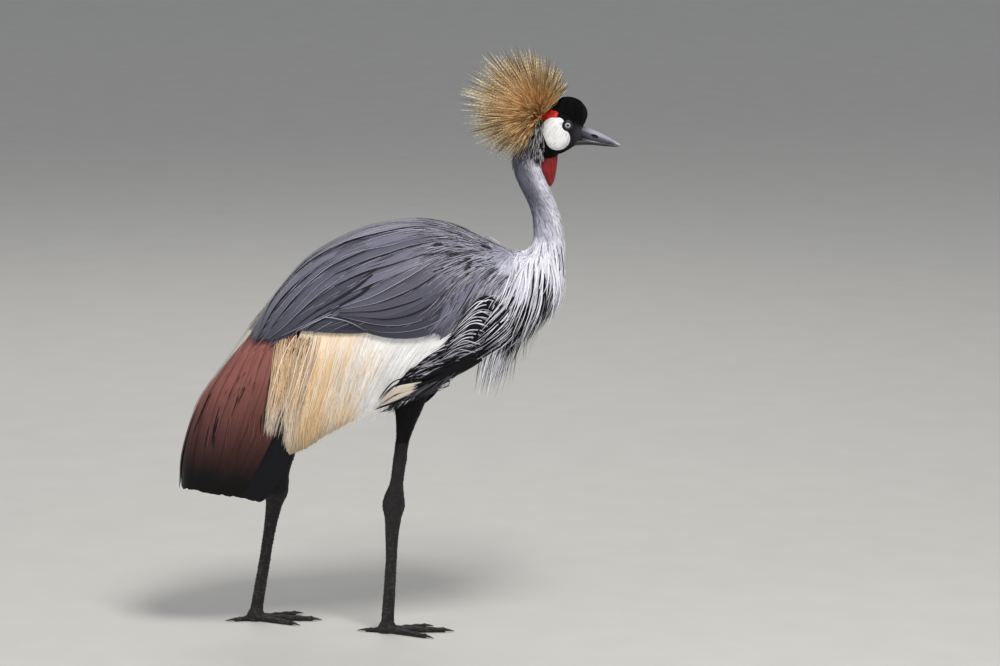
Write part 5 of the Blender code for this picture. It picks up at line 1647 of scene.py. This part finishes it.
def legFinish():
    f = Finish("dry scaled skin", Specular_IOR_Level=0.4)
    where = f.place()
    cells = f.add("ShaderNodeTexVoronoi", {"feature": "DISTANCE_TO_EDGE"}, {"Vector": where, "Scale": 0.42})
    groove = cells.band(0.0, 0.12)
    dust = f.noise(where, 0.16, 4)
    fine = f.noise(where, 1.6, 3)
    colour = f.scaled(f.attribute("paint", 0), (0.55 + groove * 0.45) * (0.75 + dust * 0.5))
    z = f.split(where)[2]
    low = 1 - z.band(60, 260)
    specks = dust.band(0.45, 0.65) * fine.band(0.5, 0.6) * (0.2 + low * 0.6)
    colour = f.blend(colour, footLook["dust"], specks)
    colour = f.blend(colour, bodyLook["thigh"], z.band(276, 312))
    return f.finished(colour, 0.5 + fine * 0.2, groove + fine * 0.2, 0.0006, 0.7)


def toeLine(side, toe):
    bearing, length, radius = footLook["toes"][toe]
    turn = math.radians(bearing) * side
    start = Vector((legLines[side][-1][0], footY[side], 0))
    return start, Vector((math.cos(turn), math.sin(turn), 0)), length, radius


def hornFinish():
    f = Finish("dull black horn", Specular_IOR_Level=0.5)
    streak = f.noise(f.place(), 0.5, 4)
    colour = f.blend(tint(22, 20, 20), tint(58, 54, 50), streak.band(0.4, 0.8))
    return f.finished(colour, 0.42, streak, 0.0003, 0.4)


def toeRing(middle, across, wide, high, turns):
    # a cross section of a toe or claw, upright and square to its bearing
    return [middle + across * (wide * math.cos(a)) + Vector((0, 0, high * math.sin(a))) for a in turns]


def makeFoot(side, skinWork, clawWork):
    look = footLook
    x, y = legLines[side][-1][0], footY[side]
    turns = np.radians(circle(24))
    pads = [curveAt(look["pad"], t) for t in np.linspace(0, len(look["pad"]) - 1, 9)]
    loft(skinWork, [np.stack([x + fore * np.cos(turns), y + wide * np.sin(turns), z + 0 * turns], -1)
                    for z, fore, wide in pads])
    for toe in look["toes"]:
        start, ahead, length, radius = toeLine(side, toe)
        across = Vector((-ahead.y, ahead.x, 0))
        rings = []
        for share in np.linspace(0, 1, 26):
            size = between(radius, radius * look["tipShare"], share)
            size *= 1 + 0.07 * math.cos(share * 4 * 2 * math.pi)
            middle = start + ahead * (length * share) + Vector((0, 0, size * 0.86))
            ring = toeRing(middle, across, size, size, np.radians(circle(16)))
            rings.append([Vector((p.x, p.y, max(p.z, 0.0))) for p in ring])
        loft(skinWork, rings)
        root, thick = start + ahead * (length - 4), radius * look["tipShare"] * look["clawShare"]
        rings = []
        for share in np.linspace(0, 1, 12):
            size, height = between(thick, 0.5, share), between(thick + 1, look["clawDrop"] + 0.4, share ** 2)
            middle = root + ahead * ((look["clawLength"] + 4) * share) + Vector((0, 0, height))
            rings.append(toeRing(middle, across, size * 0.85, size, np.radians(circle(12))))
        loft(clawWork, rings)


def makeLegs():
    finish, horn = legFinish(), hornFinish()
    for side, name in bothSides:
        form, work, claws = legForm(side), bmesh.new(), bmesh.new()
        skinRows = np.linspace(shankRow - 0.3, len(legLines[side]) - 1.1, 60)
        loft(work, ringsOf(form, skinRows, circle(24), -0.8))
        makeFoot(side, work, claws)
        leg = remeshed(meshFrom("legSkin_" + name, work), 1.5, 2)
        paintMesh(leg, np.broadcast_to(footLook["skin"], (len(leg.data.vertices), 3)))
        settle(leg, finish, (f"leg_{name}_shank", f"leg_{name}_tarsus", f"foot_{name}"))
        nodes = [f"claw_{name}_{toe}" for toe in footLook["toes"]]
        settle(meshFrom("claws_" + name, claws), horn, nodes)
        # scutes down the shank and tarsus
        coat = Coat("scutes_" + name)
        for turn, width in footLook["scutes"]:
            a = np.arange(shankRow + 0.35, len(legLines[side]) - 1.5, 0.185)
            b = np.full(len(a), float(turn))
            grow(coat, form, a, b, 7.2, width, straight, varied(footLook["scute"], 0.15, len(a)), stations=4,
                 columns=5, outline="scute", lift=(0.4, 1.5), crown=0.05, scatter=1)
        coat.finish(finish, "leg_scales")
        print("leg", name)


makeLegs()

# floor and light
studio = {
    "world": 0.38, "sky": (0.93, 0.95, 1.0, 1), "floor": (tint(196, 195, 191), tint(204, 203, 199)),
    "aim": (0, 0, 0.5),
    "lamps": (("key", (0.9, -2.2, 4.0), 1.2, 136, (1.0, 0.97, 0.92)),
              ("fill", (-3.0, -2.6, 1.8), 2.6, 28, (0.92, 0.96, 1.0)),
              ("rim", (-0.6, 3.0, 3.4), 2.2, 45, (1.0, 0.98, 0.95))),
}


def makeStudio():
    work = bmesh.new()
    bmesh.ops.create_grid(work, x_segments=1, y_segments=1, size=12000)
    floor = meshFrom("floor", work)
    floor.location.z = -shift[2] * 0.001
    f = Finish("pale floor", Roughness=0.9, Specular_IOR_Level=0.1)
    speck = f.noise(f.place(), 0.01, 3)
    f.finished(f.blend(*studio["floor"], speck))
    floor.data.materials.append(f.material)
    world = bpy.data.worlds.new("studio")
    world.use_nodes = True
    sky = world.node_tree.nodes["Background"]
    sky.inputs[0].default_value, sky.inputs[1].default_value = studio["sky"], studio["world"]
    bpy.context.scene.world = world
    for name, place, size, power, colour in studio["lamps"]:
        lamp = bpy.data.objects.new(name, bpy.data.lights.new(name, "AREA"))
        lamp.data.energy, lamp.data.size, lamp.data.color = power, size, colour
        lamp.location = place
        lamp.rotation_euler = (Vector(studio["aim"]) - lamp.location).to_track_quat("-Z", "Y").to_euler()
        bpy.context.scene.collection.objects.link(lamp)
    bpy.context.scene.view_settings.view_transform = "Standard"


makeStudio()
